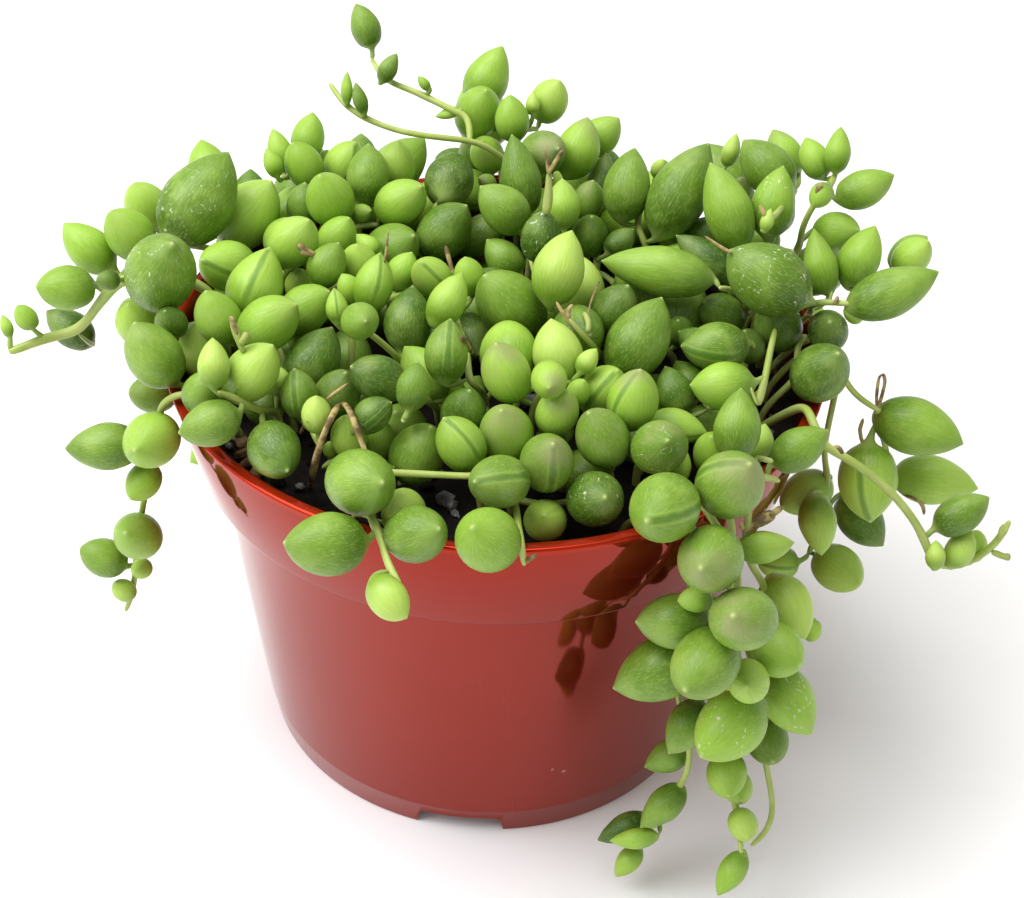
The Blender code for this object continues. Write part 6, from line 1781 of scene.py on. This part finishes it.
def dried_piece(look, stem_look):
    """The withered twig over the front leaves, and every dry stalk, flower bit and stub."""
    all_grown = grown()
    skins = [twig_finish(look), stem_finish(stem_look)]
    twig = bmesh.new()
    layers = {key: twig.verts.layers.float_vector.new(key) for key in ("grain", "look")}
    held = next(stem for stem in all_grown.stems if stem.strand == all_grown.names.index("dried_twig"))
    depths = [length(point - EYE) for point in (held.p[0], held.p[len(held.p) // 2], held.p[-1])]
    course = []
    for k, (x, y) in enumerate(TWIG_BEND):
        share = k / (len(TWIG_BEND) - 1)
        reach = np.interp(share, (0, 0.5, 1), depths)
        hit = first_hit(x, y)
        if 0 < k < len(TWIG_BEND) - 1 and hit is not None:
            reach = min(reach, hit - TWIG_CLEARANCE)
        course.append(EYE + ray_at(x, y) * reach)
    radii = np.linspace(*TWIG_RADII, len(course))
    radii = radii * (1 + TWIG_UNEVEN * np.sin(np.arange(len(course)) * 2.1))
    sweep(twig, course, radii, STEM_AROUND, layers, (1.0, 1.0), surface=0)
    piece_of("withered_twig", twig, skins[:1], ["dried_twig"], levels=2)
    bits = bmesh.new()
    layers = {key: bits.verts.layers.float_vector.new(key) for key in ("grain", "look")}
    for surface, wide, narrow, knob, points in BITS:
        course = bit_course(points, max(wide, narrow))
        radii = BIT_THINNING * np.linspace(wide, narrow, len(course))
        radii = radii * (1 + BIT_UNEVEN * np.sin(np.arange(len(course)) * 2.3 + points[0][0]))
        radii[-1] = BIT_THINNING * narrow * knob
        sweep(bits, course, radii, STEM_AROUND, layers, (0.3, 0.7), surface=surface)
    return piece_of("dried_bits", bits, skins, levels=1)


def twig_finish(look):
    made, tree, shader = finish("withered", look.tan[:])
    here = wire(tree, "TexCoord", out=3)
    cloud = grain_of(tree, here, 420.0, 3.0, 0.6)
    skin = blend_of(tree, ramp_of(tree, cloud, 0.38, 0.62), look.brown[:], look.tan[:])
    coat(tree, shader, skin, ramp_of(tree, cloud, 0.3, 0.7, 0.6, 0.85))
    bump_of(tree, shader, cloud, 0.6, 0.00025)
    return made


# Settings

def colour(name, description, value):
    return FloatVectorProperty(name=name, description=description, default=value, subtype="COLOR",
                               size=3, min=0.0, max=1.0)


def size(name, description, value, low=0.0):
    return FloatProperty(name=name, description=description, default=value * MM, min=low, unit="LENGTH")


def factor(name, description, value):
    return FloatProperty(name=name, description=description, default=value, min=0.0, max=1.0,
                         subtype="FACTOR")


def number(name, description, value, **limits):
    return IntProperty(name=name, description=description, default=value, min=0, **limits)


class TearsPotSettings(bpy.types.PropertyGroup):
    height: size("Height", "Height of the rim above the table", POT_HEIGHT)
    rim_radius: size("Rim radius", "Outer radius of the rim", RIM_RADIUS)
    lip_width: size("Lip width", "Width of the flat lip", LIP_WIDTH)
    collar_drop: size("Collar height", "From the rim down to the step under the collar", COLLAR_DROP)
    wall: size("Wall", "Thickness of the wall", WALL)
    plastic: colour("Plastic", "Red of the walls", (0.078, 0.005, 0.002))
    plastic_worn: colour("Worn plastic", "Red where the wall is rubbed", (0.098, 0.008, 0.003))
    plastic_dark: colour("Foot", "Red towards the foot", (0.090, 0.008, 0.004))
    # painted light on the flat top of the lip
    lip: colour("Lip", "Orange-red of the lit lip", (0.220, 0.014, 0.003))
    gloss: colour("Gloss", "Tint of what the plastic mirrors head on", (1.0, 0.075, 0.035))
    dust: colour("Dust", "Specks and scratches", (0.62, 0.48, 0.42))
    roughness: factor("Roughness", "How dull the plastic is", 0.05)


class TearsSoilSettings(bpy.types.PropertyGroup):
    crumb_size: size("Crumb size", "Size of the largest crumb", 2.6)
    crumbs: number("Crumbs", "Loose crumbs on the soil", 420)
    perlite: number("Perlite", "White perlite grains", 70)
    bark: number("Bark", "Tan bark chips", 24)
    soil: colour("Soil", "Dry crumbs", (0.014, 0.010, 0.008))
    soil_dark: colour("Damp soil", "Hollows between the crumbs", (0.003, 0.0025, 0.002))
    # painted light and shade: the perlite's lit side and its shaded hollows, both dimmed to grey for the
    # shade low in the pot
    perlite_lit_in_shade: colour("Perlite", "Lit side of the grains", (0.30, 0.30, 0.29))
    perlite_shaded_hollow: colour("Grey perlite", "Hollows in the grains", (0.10, 0.10, 0.095))
    bark_tan: colour("Bark", "Face of the bark chips", (0.36, 0.22, 0.10))
    bark_brown: colour("Dark bark", "Hollows in the bark", (0.10, 0.05, 0.025))


class TearsLeafSettings(bpy.types.PropertyGroup):
    swell: FloatProperty(name="Swell", description="How plump the leaves are", default=1.06,
                         min=0.5, max=1.2)
    stalk_radius: size("Stalk radius", "Radius of a leaf's stalk", 0.48)
    rounding: number("Rounding", "How finely the leaves are rounded", 2, max=3)
    mid: colour("Green", "Skin of a full-grown leaf", (0.325, 0.545, 0.051))
    deep: colour("Deep green", "Skin of a shaded leaf", (0.040, 0.105, 0.005))
    young: colour("Young green", "Skin of a young leaf", (0.480, 0.655, 0.120))
    pale: colour("Pale green", "Pores and clouds in the skin", (0.440, 0.620, 0.130))
    # painted shade towards the base of each leaf
    shade: colour("Shade", "Tint of the lower half of a leaf", (0.36, 0.46, 0.12))
    streak: colour("Streak", "Tint of the fine grain", (0.66, 0.74, 0.56))
    stalk: colour("Stalk", "Yellow-green of the stalk", (0.380, 0.500, 0.130))
    window: colour("Window", "Dark clear band along the leaf", (0.060, 0.165, 0.016))
    bloom: colour("Bloom", "Grey-purple haze of the upper part", (0.280, 0.275, 0.130))
    point: colour("Point", "Pale point of the leaf", (0.520, 0.640, 0.210))
    scuff: colour("Scuff", "White scuffs", (0.72, 0.78, 0.60))
    roughness: factor("Roughness", "How dull the skin is", 0.36)


class TearsStemSettings(bpy.types.PropertyGroup):
    radius: size("Radius", "Radius of a stem", 0.58)
    green: colour("Green", "Young stem", (0.370, 0.490, 0.085))
    pale: colour("Pale green", "Paler patches", (0.500, 0.600, 0.170))
    old: colour("Old stem", "Browner, older stem", (0.230, 0.270, 0.060))


class TearsDriedSettings(bpy.types.PropertyGroup):
    tan: colour("Tan", "Dry skin", (0.43, 0.34, 0.13))
    brown: colour("Brown", "Dark spots", (0.12, 0.075, 0.025))


class TearsStageSettings(bpy.types.PropertyGroup):
    floor: colour("Floor", "Plain pale floor", (0.96, 0.96, 0.96))
    sky: FloatProperty(name="Sky", description="Strength of the white surroundings", default=0.58, min=0.0)
    key: FloatProperty(name="Key lamp", description="Power of the large lamp overhead", default=9.0,
                       min=0.0, unit="POWER")
    lens: FloatProperty(name="Lens", description="Focal length in millimetres", default=60.0, min=1.0)


# Operators

class TEARS_OT_pot(bpy.types.Operator):
    """Mould the pot in place of its plain solid"""
    bl_idname = "tears.pot"
    bl_label = "Pot"

    def execute(self, context):
        pot_piece(context.scene.tears_pot)
        return {"FINISHED"}


class TEARS_OT_soil(bpy.types.Operator):
    """Fill the pot with crumbly soil, perlite and bark"""
    bl_idname = "tears.soil"
    bl_label = "Soil"

    def execute(self, context):
        soil_piece(context.scene.tears_soil)
        return {"FINISHED"}


class TEARS_OT_strands(bpy.types.Operator):
    """Grow every leafy strand in place of its plain solid"""
    bl_idname = "tears.strands"
    bl_label = "Leafy strands"

    def execute(self, context):
        scene = context.scene
        surfaces = [leaf_finish(scene.tears_leaf), stem_finish(scene.tears_stem),
                    leaf_finish(scene.tears_leaf, scuffed=True)]
        forms = {around: leaf_form(around) for around in (LEAF_AROUND, INNER_AROUND)}
        for strand, name in enumerate(grown().names):
            if name != "dried_twig":
                leafy_strand(strand, name, forms, surfaces, scene.tears_leaf, scene.tears_stem)
        for form in forms.values():
            bpy.data.meshes.remove(form)
        return {"FINISHED"}


class TEARS_OT_dried(bpy.types.Operator):
    """Add the withered twig and the dried bits among the leaves"""
    bl_idname = "tears.dried"
    bl_label = "Dried bits"

    def execute(self, context):
        dried_piece(context.scene.tears_dried, context.scene.tears_stem)
        return {"FINISHED"}


class TEARS_OT_stage(bpy.types.Operator):
    """Set up the pale floor, the soft light and the camera of the photograph"""
    bl_idname = "tears.stage"
    bl_label = "Stage"

    def execute(self, context):
        stage(context.scene)
        return {"FINISHED"}


class TEARS_PT_panel(bpy.types.Panel):
    """Everything that makes the potted string of tears"""
    bl_idname = "TEARS_PT_panel"
    bl_label = "String of tears"
    bl_space_type = "VIEW_3D"
    bl_region_type = "UI"
    bl_category = "Tears"

    def draw(self, context):
        for operator, group in PIECES:
            box = self.layout.box()
            box.operator(operator.bl_idname)
            settings = getattr(context.scene, group)
            for key in settings.__annotations__:
                box.prop(settings, key)


PIECES = ((TEARS_OT_pot, "tears_pot"), (TEARS_OT_soil, "tears_soil"), (TEARS_OT_strands, "tears_leaf"),
          (TEARS_OT_strands, "tears_stem"), (TEARS_OT_dried, "tears_dried"),
          (TEARS_OT_stage, "tears_stage"))
GROUPS = {"tears_pot": TearsPotSettings, "tears_soil": TearsSoilSettings,
          "tears_leaf": TearsLeafSettings, "tears_stem": TearsStemSettings,
          "tears_dried": TearsDriedSettings, "tears_stage": TearsStageSettings}
# The lamps: name, place and aim in metres, size in metres, share of the key lamp's power, tint
LAMPS = (
    ("overhead", (-0.22, 0.08, 1.1), (0, 0, 0.06), 0.85, 1.0, (1.0, 0.99, 0.97)),
    ("left_floor", (-0.42, -0.12, 0.50), (-0.30, -0.10, 0), 0.45, 0.35, (0.97, 0.95, 1.0)),
)
CLASSES = (*GROUPS.values(), TEARS_OT_pot, TEARS_OT_soil, TEARS_OT_strands, TEARS_OT_dried,
           TEARS_OT_stage, TEARS_PT_panel)


def stage(scene):
    look = scene.tears_stage
    bm = bmesh.new()
    bmesh.ops.create_grid(bm, x_segments=2, y_segments=2, size=4.0)
    mesh = mesh_from("floor", bm)
    mesh.materials.append(floor_finish(look))
    floor = bpy.data.objects.new("floor", mesh)
    scene.collection.objects.link(floor)

    world = bpy.data.worlds.new("white_room")
    world.use_nodes = True
    glow = world.node_tree.nodes["Background"].inputs
    glow["Color"].default_value = (1.0, 1.0, 1.0, 1.0)
    glow["Strength"].default_value = look.sky
    scene.world = world

    for name, at, aim, wide, share, tint in LAMPS:
        lamp = bpy.data.lights.new(name, "AREA")
        lamp.size = wide
        lamp.energy = look.key * share
        lamp.color = tint
        holder = bpy.data.objects.new(name, lamp)
        holder.location = at
        holder.rotation_euler = (Vector(aim) - Vector(at)).to_track_quat("-Z", "Y").to_euler()
        scene.collection.objects.link(holder)

    eye = bpy.data.cameras.new("photo_camera")
    eye.sensor_width, eye.lens = 36.0, look.lens
    eye.clip_start = 0.01
    holder = bpy.data.objects.new("photo_camera", eye)
    right, up, back = CAMERA_AXES
    turn = Matrix((right, up, back)).transposed().to_4x4()
    holder.matrix_world = Matrix.Translation(Vector(EYE * MM)) @ turn
    scene.collection.objects.link(holder)
    scene.camera = holder
    scene.view_settings.view_transform = "Standard"


def register():
    for made in CLASSES:
        bpy.utils.register_class(made)
    for group, made in GROUPS.items():
        setattr(bpy.types.Scene, group, PointerProperty(type=made))


def unregister():
    for group in GROUPS:
        delattr(bpy.types.Scene, group)
    for made in reversed(CLASSES):
        bpy.utils.unregister_class(made)


def main():
    register()
    bpy.ops.tears.pot()
    bpy.ops.tears.soil()
    bpy.ops.tears.strands()
    bpy.ops.tears.dried()
    bpy.ops.tears.stage()


if __name__ == "__main__":
    main()
